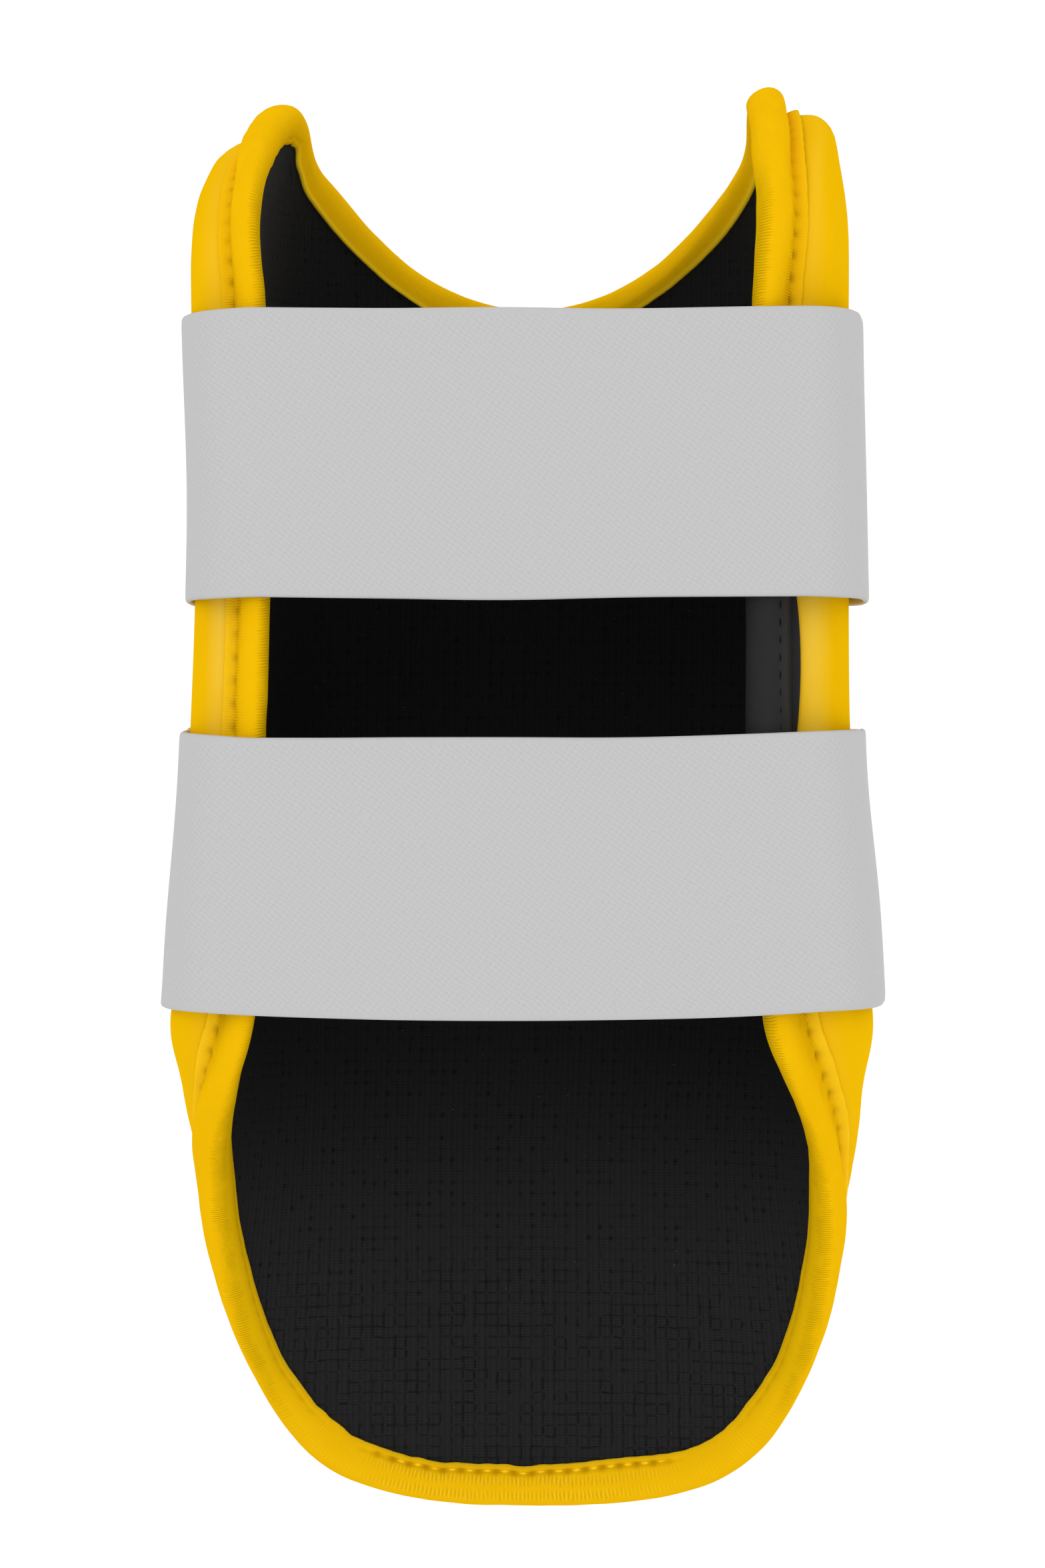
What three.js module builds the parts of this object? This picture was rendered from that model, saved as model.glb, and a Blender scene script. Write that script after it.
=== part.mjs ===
// Elbow guard: a padded trough with a mesh lining, a bound edge, two elastic
// straps across the open side and a plain woven label.
// Millimetres. +X across the arm, +Y along the arm towards the scooped top,
// +Z up out of the open side. It lies on its flat back.
import * as THREE from 'three';

// ---------------------------------------------------------------- driving sizes
const BACK_HEIGHT = 11;      // lining/pad interface above the lowest pad line
const REST_CUT = 0.5;        // how far the padded back is flattened where it rests
const WALL_STEP = 63;        // mm of front wall for one unit of 'around'
const TUCK_RUN = 26;         // height over which the front wall tucks in
const GAP = 0.3;             // clearance between neighbouring pieces
const PLY_GAP = 0.2;         // half the clearance between pad and lining

const PAD_EDGE = 2.4;        // pad thickness inside the binding
const STITCH_LINE = 3.5;     // seam, in from the middle of the rolled edge
const PAD_RISE = 7;          // run over which the pad swells to full thickness
const PAD_FULL = 0.65;       // how blunt the swelling is: 1 gentle, 0.5 a quarter circle
const LINING_THICK = 1.5;

const TAPE_THICK = 0.95;
const LEG_REACH = 3.8;       // end of both tape legs, in from the middle of the roll
const LEG_LEAN = 20;         // degrees the end of the outer leg leans up the swollen pad
const ROLL_RADIUS = 3.275;
const ROLL_SHIFT = 0.375;    // roll centre, off the interface towards the pad
const GROOVE_REACH = 1.6;

const STRAP_THICK = 1.3;
const STRAP_FRONT = 82.5;    // middle of the strap where it crosses the open side
const STRAP_END = 0.4;       // 'around' where each strap end lies on the flank
const STRAP_END_GAP = 0.35;  // strap end off the pad

const LABEL_THICK = 1.0;
const LABEL_LOW = 2.5;
const LABEL_HIGH = 40;
const LABEL_STEPS = 4;

const SPINE_LOW = -92;       // middle line that the wall grid closes on
const SPINE_HIGH = 62;
const ORIGIN = { x: 0.937, y: -3.508, z: REST_CUT };

// half sections along the arm: half width and depth of the trough's curved part,
// squareness of its corner, how far the edge tucks in, the pad's thickness, and
// how far the section sits to the right
const SECTIONS = [
  { y: -134, halfWidth: 62.0, depth: 15.0, square: 2.00, tuck: 3.0, pad: 8.0, shift: -0.5 },
  { y: -115, halfWidth: 62.0, depth: 20.0, square: 2.00, tuck: 3.0, pad: 8.4, shift: -0.5 },
  { y: -100, halfWidth: 61.5, depth: 30.0, square: 2.00, tuck: 3.0, pad: 8.7, shift: -0.5 },
  { y: -85, halfWidth: 60.0, depth: 38.5, square: 2.05, tuck: 3.0, pad: 9.0, shift: -0.5 },
  { y: -70, halfWidth: 56.6, depth: 42.0, square: 2.15, tuck: 4.0, pad: 9.4, shift: -0.5 },
  { y: -56, halfWidth: 53.8, depth: 42.0, square: 2.40, tuck: 5.0, pad: 8.2, shift: -0.1 },
  { y: -48, halfWidth: 53.2, depth: 41.6, square: 2.55, tuck: 5.0, pad: 9.9, shift: 0.2 },
  { y: -43.5, halfWidth: 52.9, depth: 41.2, square: 2.66, tuck: 5.0, pad: 10.9, shift: 0.35 },
  { y: -40.5, halfWidth: 52.6, depth: 41.0, square: 2.70, tuck: 5.0, pad: 10.3, shift: 0.45 },
  { y: -36, halfWidth: 52.3, depth: 40.8, square: 2.75, tuck: 4.8, pad: 10.4, shift: 0.5 },
  { y: -20, halfWidth: 50.6, depth: 40.0, square: 3.00, tuck: 4.0, pad: 11.0, shift: 0.45 },
  { y: 5, halfWidth: 48.4, depth: 40.0, square: 3.20, tuck: 2.1, pad: 11.0, shift: 0.2 },
  { y: 30, halfWidth: 47.7, depth: 40.0, square: 3.20, tuck: 1.9, pad: 11.0, shift: 0.5 },
  { y: 50, halfWidth: 47.5, depth: 40.0, square: 3.20, tuck: 1.9, pad: 11.0, shift: 0.7 },
  { y: 85, halfWidth: 48.0, depth: 40.0, square: 3.20, tuck: 1.8, pad: 11.0, shift: 0.2 },
  { y: 100, halfWidth: 48.2, depth: 40.0, square: 3.20, tuck: 0.8, pad: 10.8, shift: 0.2 },
  { y: 112, halfWidth: 47.2, depth: 40.0, square: 3.20, tuck: 0.9, pad: 10.4, shift: 0.2 },
  { y: 128, halfWidth: 43.4, depth: 40.0, square: 3.20, tuck: 1.4, pad: 10.0, shift: 0.2 },
];

// the bound edge, right half, from the foot of the tongue to the foot of the scoop:
// 'around' is 0 on the back line, 1 where the trough is widest and past 1 up the
// front wall; lift is how much higher the right half is; steps to the next row
const EDGE = [
  { around: 0, y: -130.8, lift: 0, steps: 1 },
  { around: 0.145, y: -130.4, lift: 0, steps: 1 },
  { around: 0.287, y: -128.2, lift: 0, steps: 1 },
  { around: 0.386, y: -124.8, lift: 0, steps: 1 },
  { around: 0.463, y: -119.8, lift: 0, steps: 1 },
  { around: 0.522, y: -113.6, lift: 0, steps: 1 },
  { around: 0.574, y: -107.5, lift: 0, steps: 1 },
  { around: 0.622, y: -101.1, lift: 0, steps: 1 },
  { around: 0.664, y: -94.9, lift: 0, steps: 1 },
  { around: 0.709, y: -87.5, lift: 0, steps: 1 },
  { around: 0.773, y: -79.0, lift: 0, steps: 1 },
  { around: 0.863, y: -70.0, lift: 0, steps: 1 },
  { around: 1.048, y: -61.0, lift: 0, steps: 1 },
  { around: 1.240, y: -52.5, lift: 0, steps: 1 },
  { around: 1.361, y: -44.5, lift: 0, steps: 1 },
  { around: 1.404, y: -34.0, lift: 0, steps: 3 },
  { around: 1.413, y: 0, lift: 0, steps: 3 },
  { around: 1.413, y: 45.0, lift: 0, steps: 3 },
  { around: 1.413, y: 86.0, lift: 1.0, steps: 1 },
  { around: 1.388, y: 98.6, lift: 2.0, steps: 1 },
  { around: 1.270, y: 109.0, lift: 3.0, steps: 1 },
  { around: 1.050, y: 116.0, lift: 4.2, steps: 1 },
  { around: 0.890, y: 119.4, lift: 4.1, steps: 1 },
  { around: 0.785, y: 120.9, lift: 2.9, steps: 1 },
  { around: 0.722, y: 121.1, lift: 2.2, steps: 1 },
  { around: 0.676, y: 119.8, lift: 2.0, steps: 1 },
  { around: 0.640, y: 116.6, lift: 1.7, steps: 1 },
  { around: 0.585, y: 112.2, lift: 1.5, steps: 1 },
  { around: 0.497, y: 107.0, lift: 1.0, steps: 1 },
  { around: 0.402, y: 99.6, lift: 0.9, steps: 1 },
  { around: 0.289, y: 91.7, lift: 0.8, steps: 1 },
  { around: 0.157, y: 86.6, lift: 0.3, steps: 1 },
  { around: 0, y: 84.6, lift: 0, steps: 1 },
];

// the two straps, each with its left and right side: the gap to the pad at the upper and
// the lower border, the bend's run across and down and how square it is, how far each
// border rides up at the side, and the share of that reached where the bend begins
const STRAPS = {
  strap_upper: {
    middle: 58.6,
    width: 50.8,
    left: { gapHigh: 0.4, gapLow: 0.35, across: 14, down: 32, square: 2.9, riseHigh: -0.1, riseLow: -0.2, earlyHigh: 0.2, earlyLow: 0.2 },
    right: { gapHigh: 1.4, gapLow: 2.5, across: 9, down: 18, square: 2.3, riseHigh: -0.1, riseLow: -0.2, earlyHigh: 0.2, earlyLow: 0.2 },
  },
  strap_lower: {
    middle: -16.8,
    width: 49.8,
    left: { gapHigh: 0.4, gapLow: 0.35, across: 14, down: 31, square: 2.9, riseHigh: 1.8, riseLow: 2.0, earlyHigh: 0, earlyLow: 0.4 },
    right: { gapHigh: 1.6, gapLow: 1.3, across: 9, down: 18, square: 2.3, riseHigh: 1.4, riseLow: 2.1, earlyHigh: 0.75, earlyLow: 0.8 },
  },
};

const RIM_RUNS = [0, LEG_REACH, 5];                           // rows beside the edge
const WALL_SHARES = [0.06, 0.15, 0.29, 0.46, 0.66, 0.87, 1];  // rows on to the spine
const ROLL_ANGLES = [60, 30, 0, -30, -60];

const PAINT = {
  shell: { color: 0xf0b90f, roughness: 0.42, metalness: 0 },
  lining: { color: 0x1b1b1c, roughness: 0.85, metalness: 0 },
  binding: { color: 0xe6b012, roughness: 0.7, metalness: 0 },
  strap_upper: { color: 0xcbcbcb, roughness: 0.8, metalness: 0 },
  strap_lower: { color: 0xcbcbcb, roughness: 0.8, metalness: 0 },
  label: { color: 0x2b2b2d, roughness: 0.6, metalness: 0 },
};

// ---------------------------------------------------------------- small helpers
const radians = (d) => (d * Math.PI) / 180;
const vec = (x, y, z) => new THREE.Vector3(x, y, z);
const clamp01 = (v) => Math.min(1, Math.max(0, v));

// shape-preserving cubic through one column of the section table
function column(rows, key) {
  const xs = rows.map((r) => r.y);
  const vs = rows.map((r) => r[key]);
  const run = xs.slice(1).map((x, i) => x - xs[i]);
  const slope = run.map((h, i) => (vs[i + 1] - vs[i]) / h);
  const last = xs.length - 1;
  const grade = vs.map((_, i) => {
    if (i === 0) return slope[0];
    if (i === last) return slope[last - 1];
    if (slope[i - 1] * slope[i] <= 0) return 0;
    const w1 = 2 * run[i] + run[i - 1];
    const w2 = run[i] + 2 * run[i - 1];
    return (w1 + w2) / (w1 / slope[i - 1] + w2 / slope[i]);
  });
  return (at) => {
    const x = Math.min(xs[last], Math.max(xs[0], at));
    let k = 0;
    while (k < last - 1 && x > xs[k + 1]) k += 1;
    const h = run[k];
    const t = (x - xs[k]) / h;
    return (1 + 2 * t) * (1 - t) ** 2 * vs[k] + t * (1 - t) ** 2 * h * grade[k]
      + t * t * (3 - 2 * t) * vs[k + 1] + t * t * (t - 1) * h * grade[k + 1];
  };
}

const halfWidthAt = column(SECTIONS, 'halfWidth');
const depthAt = column(SECTIONS, 'depth');
const squareAt = column(SECTIONS, 'square');
const tuckAt = column(SECTIONS, 'tuck');
const padAt = column(SECTIONS, 'pad');
const shiftAt = column(SECTIONS, 'shift');

// ---------------------------------------------------------------- the trough's surface
function surface(around, y) {
  const n = squareAt(y);
  const q = Math.abs(around);
  const turn = Math.min(q, 1) * (Math.PI / 2);
  const s = Math.sin(turn);
  const c = Math.cos(turn);
  const r = (s ** n + Math.max(c, 0) ** n) ** (-1 / n);
  const wall = Math.max(q - 1, 0) * WALL_STEP;
  const x = halfWidthAt(y) * r * s - tuckAt(y) * (wall / TUCK_RUN) ** 2;
  const z = depthAt(y) * (1 - r * c) + wall + BACK_HEIGHT;
  return vec(Math.sign(around) * x + shiftAt(y), y, z);
}

function slopes(around, y) {
  const da = 1e-3;
  const dy = 0.05;
  return {
    across: surface(around + da, y).sub(surface(around - da, y)).divideScalar(2 * da),
    along: surface(around, y + dy).sub(surface(around, y - dy)).divideScalar(2 * dy),
  };
}

// away from the arm
function outward(around, y) {
  const { across, along } = slopes(around, y);
  return across.cross(along).normalize().negate();
}

// ---------------------------------------------------------------- the bound edge
const loopRows = [
  ...EDGE.map((r) => ({ a: r.around, y: r.y + r.lift, steps: r.steps })),
  ...EDGE.slice(1, -1).reverse().map((r) => ({ a: -r.around, y: r.y, steps: 1 })),
];
EDGE.slice(0, -1).forEach((r, i) => {
  loopRows[(loopRows.length - 1 - i) % loopRows.length].steps = r.steps;
});

const loopRuns = loopRows.map((r, i) => {
  const next = loopRows[(i + 1) % loopRows.length];
  return surface(r.a, r.y).distanceTo(surface(next.a, next.y));
});

const loopGrades = loopRows.map((r, i) => {
  const m = loopRows.length;
  const before = loopRows[(i + m - 1) % m];
  const after = loopRows[(i + 1) % m];
  const h0 = loopRuns[(i + m - 1) % m];
  const h1 = loopRuns[i];
  const mix = (key) => (h1 * (r[key] - before[key]) / h0 + h0 * (after[key] - r[key]) / h1) / (h0 + h1);
  return { a: mix('a'), y: mix('y') };
});

function onLoop(i, u) {
  const m = loopRows.length;
  const k = ((i % m) + m) % m;
  const next = (k + 1) % m;
  const h = loopRuns[k];
  const blend = (key) => (1 + 2 * u) * (1 - u) ** 2 * loopRows[k][key]
    + u * (1 - u) ** 2 * h * loopGrades[k][key]
    + u * u * (3 - 2 * u) * loopRows[next][key]
    + u * u * (u - 1) * h * loopGrades[next][key];
  return { a: blend('a'), y: blend('y') };
}

// frame on the edge: out runs in the wall off its edge, up runs away from the arm
function edgeFrame(at, ahead, behind) {
  const up = outward(at.a, at.y);
  const along = surface(ahead.a, ahead.y).sub(surface(behind.a, behind.y)).normalize();
  const out = up.clone().cross(along).normalize();
  const { across, along: lengthways } = slopes(at.a, at.y);
  const aa = across.dot(across);
  const ay = across.dot(lengthways);
  const yy = lengthways.dot(lengthways);
  const oa = -out.dot(across);
  const oy = -out.dot(lengthways);
  const det = aa * yy - ay * ay;
  const step = { a: (oa * yy - oy * ay) / det, y: (oy * aa - oa * ay) / det };
  return { at, up, out, step, spot: surface(at.a, at.y) };
}

const stations = [];
loopRows.forEach((row, i) => {
  for (let s = 0; s < row.steps; s += 1) {
    const u = s / row.steps;
    const e = 0.02;
    const ahead = onLoop(i, u + e);
    const behind = u - e < 0 ? onLoop(i - 1, 1 + u - e) : onLoop(i, u - e);
    stations.push(edgeFrame(onLoop(i, u), ahead, behind));
  }
});
const COUNT = stations.length;
const HALF = COUNT / 2;

const fineEdge = [];
loopRows.forEach((row, i) => {
  const fine = Math.max(2, Math.round(loopRuns[i] / 3));
  for (let s = 0; s < fine; s += 1) {
    const p = onLoop(i, s / fine);
    fineEdge.push(surface(p.a, p.y));
  }
});
const edgeDistance = (spot) => fineEdge.reduce((d, q) => Math.min(d, q.distanceTo(spot)), Infinity);

// share of the way along one half of the edge, for the spine
const shareOf = [0];
for (let k = 1; k <= HALF; k += 1) {
  shareOf.push(shareOf[k - 1] + stations[k].spot.distanceTo(stations[k - 1].spot));
}
const halfRun = shareOf[HALF];

function padThickness(distance, y) {
  const u = clamp01((distance - STITCH_LINE) / PAD_RISE);
  return PAD_EDGE + (padAt(y) - PAD_EDGE) * (1 - (1 - u) ** 2) ** PAD_FULL;
}

// ---------------------------------------------------------------- wall grid
// rows run in from the edge at each station and close on the spine
const wallSpots = stations.map((st, k) => {
  const mirror = Math.min(k, COUNT - k);
  const spineY = SPINE_LOW + (SPINE_HIGH - SPINE_LOW) * (shareOf[mirror] / halfRun);
  const rim = RIM_RUNS.map((d) => ({ a: st.at.a + st.step.a * d, y: st.at.y + st.step.y * d, d }));
  const from = rim[rim.length - 1];
  const rest = WALL_SHARES.map((w) => {
    const spot = { a: from.a * (1 - w), y: from.y + (spineY - from.y) * w };
    return { ...spot, d: Math.max(RIM_RUNS[2], edgeDistance(surface(spot.a, spot.y))) };
  });
  return [...rim, ...rest];
});
const ROWS = RIM_RUNS.length + WALL_SHARES.length;

function offsetSpot(w, amount, floor = null) {
  const p = surface(w.a, w.y).addScaledVector(outward(w.a, w.y), amount);
  if (floor !== null && p.z < floor) p.z = floor;
  return p;
}

class Skin {
  constructor() {
    this.points = [];
    this.faces = [];
  }

  add(p) {
    this.points.push(p);
    return this.points.length - 1;
  }

  quad(a, b, c, d) {
    this.faces.push([a, b, c], [a, c, d]);
  }

  geometry() {
    let volume = 0;
    const [o] = this.points;
    this.faces.forEach(([a, b, c]) => {
      const pa = this.points[a].clone().sub(o);
      const pb = this.points[b].clone().sub(o);
      const pc = this.points[c].clone().sub(o);
      volume += pa.dot(pb.cross(pc));
    });
    const faces = volume < 0 ? this.faces.map(([a, b, c]) => [a, c, b]) : this.faces;
    const g = new THREE.BufferGeometry();
    const shift = vec(ORIGIN.x, ORIGIN.y, ORIGIN.z);
    const flat = this.points.flatMap((p) => p.clone().sub(shift).toArray());
    g.setAttribute('position', new THREE.Float32BufferAttribute(flat, 3));
    g.setIndex(faces.flat());
    g.computeVertexNormals();
    return g;
  }
}

// a wall between two offsets of the trough's surface, closed round its rim
function wall(offsetA, offsetB, floor = null) {
  const skin = new Skin();
  const sheet = (offset) => {
    const spine = [];
    return wallSpots.map((rows, k) => rows.map((w, j) => {
      if (j === ROWS - 1) {
        const mirror = Math.min(k, COUNT - k);
        if (spine[mirror] === undefined) spine[mirror] = skin.add(offsetSpot(w, offset(w), floor));
        return spine[mirror];
      }
      return skin.add(offsetSpot(w, offset(w), floor));
    }));
  };
  const a = sheet(offsetA);
  const b = sheet(offsetB);
  for (let k = 0; k < COUNT; k += 1) {
    const n = (k + 1) % COUNT;
    for (let j = 0; j < ROWS - 1; j += 1) {
      skin.quad(a[k][j], a[n][j], a[n][j + 1], a[k][j + 1]);
      skin.quad(b[k][j], b[k][j + 1], b[n][j + 1], b[n][j]);
    }
    skin.quad(a[k][0], b[k][0], b[n][0], a[n][0]);
  }
  return skin.geometry();
}

// ---------------------------------------------------------------- folded tape profiles
// one closed profile at an edge station, from the outer leg over the roll to the inner leg
function foldProfile(st, inside, thick) {
  const lean = (deg) => st.up.clone().multiplyScalar(Math.cos(radians(deg)))
    .addScaledVector(st.out, Math.sin(radians(deg)));
  const legs = [
    { d: RIM_RUNS[1], deg: LEG_LEAN },
    { d: RIM_RUNS[0], deg: 0 },
  ];
  const spotAt = (d) => ({ a: st.at.a + st.step.a * d, y: st.at.y + st.step.y * d, d });
  const outerLeg = (reach) => legs.map(({ d, deg }) => {
    const w = spotAt(d);
    return offsetSpot(w, padThickness(d, w.y)).addScaledVector(lean(deg), reach);
  });
  const innerLeg = (reach) => [RIM_RUNS[0], RIM_RUNS[1]].map((d) => (
    offsetSpot(spotAt(d), -(PLY_GAP + LINING_THICK + reach))));
  const roll = (radius) => ROLL_ANGLES.map((deg) => st.spot.clone()
    .addScaledVector(st.out, radius * Math.cos(radians(deg)))
    .addScaledVector(st.up, ROLL_SHIFT + radius * Math.sin(radians(deg))));
  const top = [...outerLeg(inside + thick), ...roll(ROLL_RADIUS - GAP - TAPE_THICK + inside + thick), ...innerLeg(inside + thick)];
  const under = inside > GAP
    ? [...outerLeg(inside), ...roll(ROLL_RADIUS - GAP - TAPE_THICK + inside), ...innerLeg(inside)]
    : [...outerLeg(inside), st.spot.clone().addScaledVector(st.out, GROOVE_REACH).addScaledVector(st.up, ROLL_SHIFT), ...innerLeg(inside)];
  return [...top, ...under.reverse()];
}

function sweep(profiles, closed, crossed = []) {
  const skin = new Skin();
  const rings = profiles.map((pts) => pts.map((p) => skin.add(p)));
  const size = rings[0].length;
  const spans = closed ? rings.length : rings.length - 1;
  for (let k = 0; k < spans; k += 1) {
    const a = rings[k];
    const b = rings[(k + 1) % rings.length];
    for (let j = 0; j < size; j += 1) {
      const n = (j + 1) % size;
      if (crossed.includes(j)) skin.quad(b[j], b[n], a[n], a[j]);
      else skin.quad(a[j], b[j], b[n], a[n]);
    }
  }
  if (!closed) {
    const half = size / 2;
    const first = rings[0];
    const last = rings[rings.length - 1];
    for (let j = 0; j < half - 1; j += 1) {
      skin.quad(first[j], first[j + 1], first[size - 2 - j], first[size - 1 - j]);
      skin.quad(last[j], last[size - 1 - j], last[size - 2 - j], last[j + 1]);
    }
  }
  return skin.geometry();
}

function binding() {
  const underInnerLeg = 2 + ROLL_ANGLES.length + 2;   // split as the lining under it is
  return sweep(stations.map((st) => foldProfile(st, GAP, TAPE_THICK)), true, [underInnerLeg]);
}

function label() {
  const around = EDGE[16].around;
  const profiles = [];
  for (let i = 0; i <= LABEL_STEPS; i += 1) {
    const y = LABEL_LOW + ((LABEL_HIGH - LABEL_LOW) * i) / LABEL_STEPS;
    const st = edgeFrame({ a: around, y }, { a: around, y: y + 0.5 }, { a: around, y: y - 0.5 });
    profiles.push(foldProfile(st, GAP + TAPE_THICK + GAP, LABEL_THICK));
  }
  return sweep(profiles, false);
}

// ---------------------------------------------------------------- straps
const STRAP_ROWS = 3;
const FRONT_STEPS = 3;
const BEND_STEPS = 6;
const SIDE_STEPS = 2;
const FLANK_STEPS = 8;

// half of a strap's middle line on one side, drawn on the right, from the front's middle to
// its end; share is 0 at the strap's lower border and 1 at its upper one
function strapHalf(y0, share, side) {
  const gap = side.gapLow + (side.gapHigh - side.gapLow) * share;
  const rise = side.riseLow + (side.riseHigh - side.riseLow) * share;
  const early = side.earlyLow + (side.earlyHigh - side.earlyLow) * share;
  const reachAt = (y) => halfWidthAt(y) + padAt(y) + gap + STRAP_THICK / 2;
  const line = [];
  const flatTo = reachAt(y0 + rise) - side.across;
  for (let i = 0; i < FRONT_STEPS; i += 1) {
    const t = i / FRONT_STEPS;
    line.push({ x: flatTo * t, y: y0 + rise * early * t ** 2.5, z: STRAP_FRONT });
  }
  for (let i = 0; i <= BEND_STEPS; i += 1) {
    const turn = (i / BEND_STEPS) * (Math.PI / 2);
    const s = Math.sin(turn);
    const c = Math.max(0, Math.cos(turn));
    const r = (s ** side.square + c ** side.square) ** (-1 / side.square);
    const y = y0 + rise * (early + ((1 - early) * i) / BEND_STEPS);
    line.push({
      x: reachAt(y) - side.across * (1 - r * s),
      y,
      z: STRAP_FRONT - side.down * (1 - r * c),
    });
  }
  const y = y0 + rise;
  const widest = BACK_HEIGHT + depthAt(y);
  for (let i = 1; i < SIDE_STEPS; i += 1) {
    const from = STRAP_FRONT - side.down;
    line.push({ x: reachAt(y), y, z: from + ((widest - from) * i) / SIDE_STEPS });
  }
  for (let i = 0; i <= FLANK_STEPS; i += 1) {
    const t = i / FLANK_STEPS;
    const a = 1 + (STRAP_END - 1) * t;
    const close = gap + (STRAP_END_GAP - gap) * t * t * (3 - 2 * t);
    const p = surface(a, y).addScaledVector(outward(a, y), padAt(y) + close + STRAP_THICK / 2);
    line.push({ x: p.x - shiftAt(y), y: p.y, z: p.z });
  }
  return line;
}

function strap({ middle, width, left, right }) {
  const skin = new Skin();
  const faces = [[], []];
  for (let r = 0; r <= STRAP_ROWS; r += 1) {
    const share = r / STRAP_ROWS;
    const y = middle + width * (share - 0.5);
    const lay = (side, sign) => strapHalf(y, share, side).map((p) => vec(sign * p.x + shiftAt(p.y), p.y, p.z));
    const line = [...lay(left, -1).slice(1).reverse(), ...lay(right, 1)];
    line.forEach((p, i) => {
      const a = line[Math.max(0, i - 1)];
      const b = line[Math.min(line.length - 1, i + 1)];
      const side = vec(-(b.z - a.z), 0, b.x - a.x).normalize();
      [1, -1].forEach((sign, f) => {
        faces[f][r] = faces[f][r] || [];
        faces[f][r][i] = skin.add(p.clone().addScaledVector(side, (sign * STRAP_THICK) / 2));
      });
    });
  }
  const [top, under] = faces;
  const long = top[0].length;
  for (let r = 0; r < STRAP_ROWS; r += 1) {
    for (let i = 0; i < long - 1; i += 1) {
      skin.quad(top[r][i], top[r][i + 1], top[r + 1][i + 1], top[r + 1][i]);
      skin.quad(under[r][i], under[r + 1][i], under[r + 1][i + 1], under[r][i + 1]);
    }
    [[0, 1], [long - 1, -1]].forEach(([i, turn]) => {
      const q = [top[r][i], top[r + 1][i], under[r + 1][i], under[r][i]];
      skin.quad(...(turn > 0 ? q : q.reverse()));
    });
  }
  for (let i = 0; i < long - 1; i += 1) {
    skin.quad(top[0][i + 1], top[0][i], under[0][i], under[0][i + 1]);
    skin.quad(top[STRAP_ROWS][i], top[STRAP_ROWS][i + 1], under[STRAP_ROWS][i + 1], under[STRAP_ROWS][i]);
  }
  return skin.geometry();
}

// ---------------------------------------------------------------- the assembly
const group = new THREE.Group();
group.name = 'elbow_guard';

function place(name, geometry) {
  const mesh = new THREE.Mesh(geometry, new THREE.MeshStandardMaterial(PAINT[name]));
  mesh.name = name;
  group.add(mesh);
}

place('shell', wall((w) => padThickness(w.d, w.y), () => PLY_GAP, REST_CUT));
place('lining', wall(() => -PLY_GAP, () => -(PLY_GAP + LINING_THICK)));
place('binding', binding());
place('strap_upper', strap(STRAPS.strap_upper));
place('strap_lower', strap(STRAPS.strap_lower));
place('label', label());

export default group;
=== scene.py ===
import math

import bpy
import numpy as np
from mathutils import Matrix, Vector


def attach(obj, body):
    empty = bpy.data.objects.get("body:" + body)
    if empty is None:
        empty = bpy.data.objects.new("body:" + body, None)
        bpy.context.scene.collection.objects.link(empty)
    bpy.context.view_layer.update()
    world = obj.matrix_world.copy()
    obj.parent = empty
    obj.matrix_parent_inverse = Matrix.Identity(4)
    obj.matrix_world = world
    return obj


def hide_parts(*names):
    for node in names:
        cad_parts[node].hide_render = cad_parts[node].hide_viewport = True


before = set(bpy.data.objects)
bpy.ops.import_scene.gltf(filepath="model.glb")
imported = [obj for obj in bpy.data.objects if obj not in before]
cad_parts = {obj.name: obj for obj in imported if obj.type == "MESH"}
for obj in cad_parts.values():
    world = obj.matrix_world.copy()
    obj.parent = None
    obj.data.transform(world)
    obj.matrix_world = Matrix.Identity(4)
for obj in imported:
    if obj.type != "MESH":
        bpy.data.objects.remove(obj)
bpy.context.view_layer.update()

# ------------------------------------------------------------------ sizes, mm
BACK_HEIGHT = 11.0
REST_CUT = 0.5
WALL_STEP = 63.0
TUCK_RUN = 26.0
PLY_GAP = 0.2
PAD_EDGE = 2.4
STITCH_LINE = 3.5
PAD_RISE = 7.0
PAD_FULL = 0.65
LINING_THICK = 1.5
STRAP_WIDTH = 50.8
STRAP_THICK = 1.3
STRAP_FRONT = 82.5
STRAP_END = 0.4
SPINE_LOW, SPINE_HIGH = -92.0, 62.0
ORIGIN = np.array([0.937, -3.508, REST_CUT])

# y, half width, depth, squareness, tuck, pad, shift
SECTIONS = np.array([
    (-134, 62.0, 15.0, 2.00, 3.0, 8.0, -0.5),
    (-115, 62.0, 20.0, 2.00, 3.0, 8.4, -0.5),
    (-100, 61.5, 30.0, 2.00, 3.0, 8.7, -0.5),
    (-85, 60.0, 38.5, 2.05, 3.0, 9.0, -0.5),
    (-70, 56.6, 42.0, 2.15, 4.0, 9.4, -0.5),
    (-56, 53.8, 42.0, 2.40, 5.0, 8.2, -0.1),
    (-48, 53.2, 41.6, 2.55, 5.0, 9.9, 0.2),
    (-43.5, 52.9, 41.2, 2.66, 5.0, 10.9, 0.35),
    (-40.5, 52.6, 41.0, 2.70, 5.0, 10.3, 0.45),
    (-36, 52.3, 40.8, 2.75, 4.8, 10.4, 0.5),
    (-20, 50.6, 40.0, 3.00, 4.0, 11.0, 0.45),
    (5, 48.4, 40.0, 3.20, 2.1, 11.0, 0.2),
    (30, 47.7, 40.0, 3.20, 1.9, 11.0, 0.5),
    (50, 47.5, 40.0, 3.20, 1.9, 11.0, 0.7),
    (85, 48.0, 40.0, 3.20, 1.8, 11.0, 0.2),
    (100, 48.2, 40.0, 3.20, 0.8, 10.8, 0.2),
    (112, 47.2, 40.0, 3.20, 0.9, 10.4, 0.2),
    (128, 43.4, 40.0, 3.20, 1.4, 10.0, 0.2),
], float)

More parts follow.
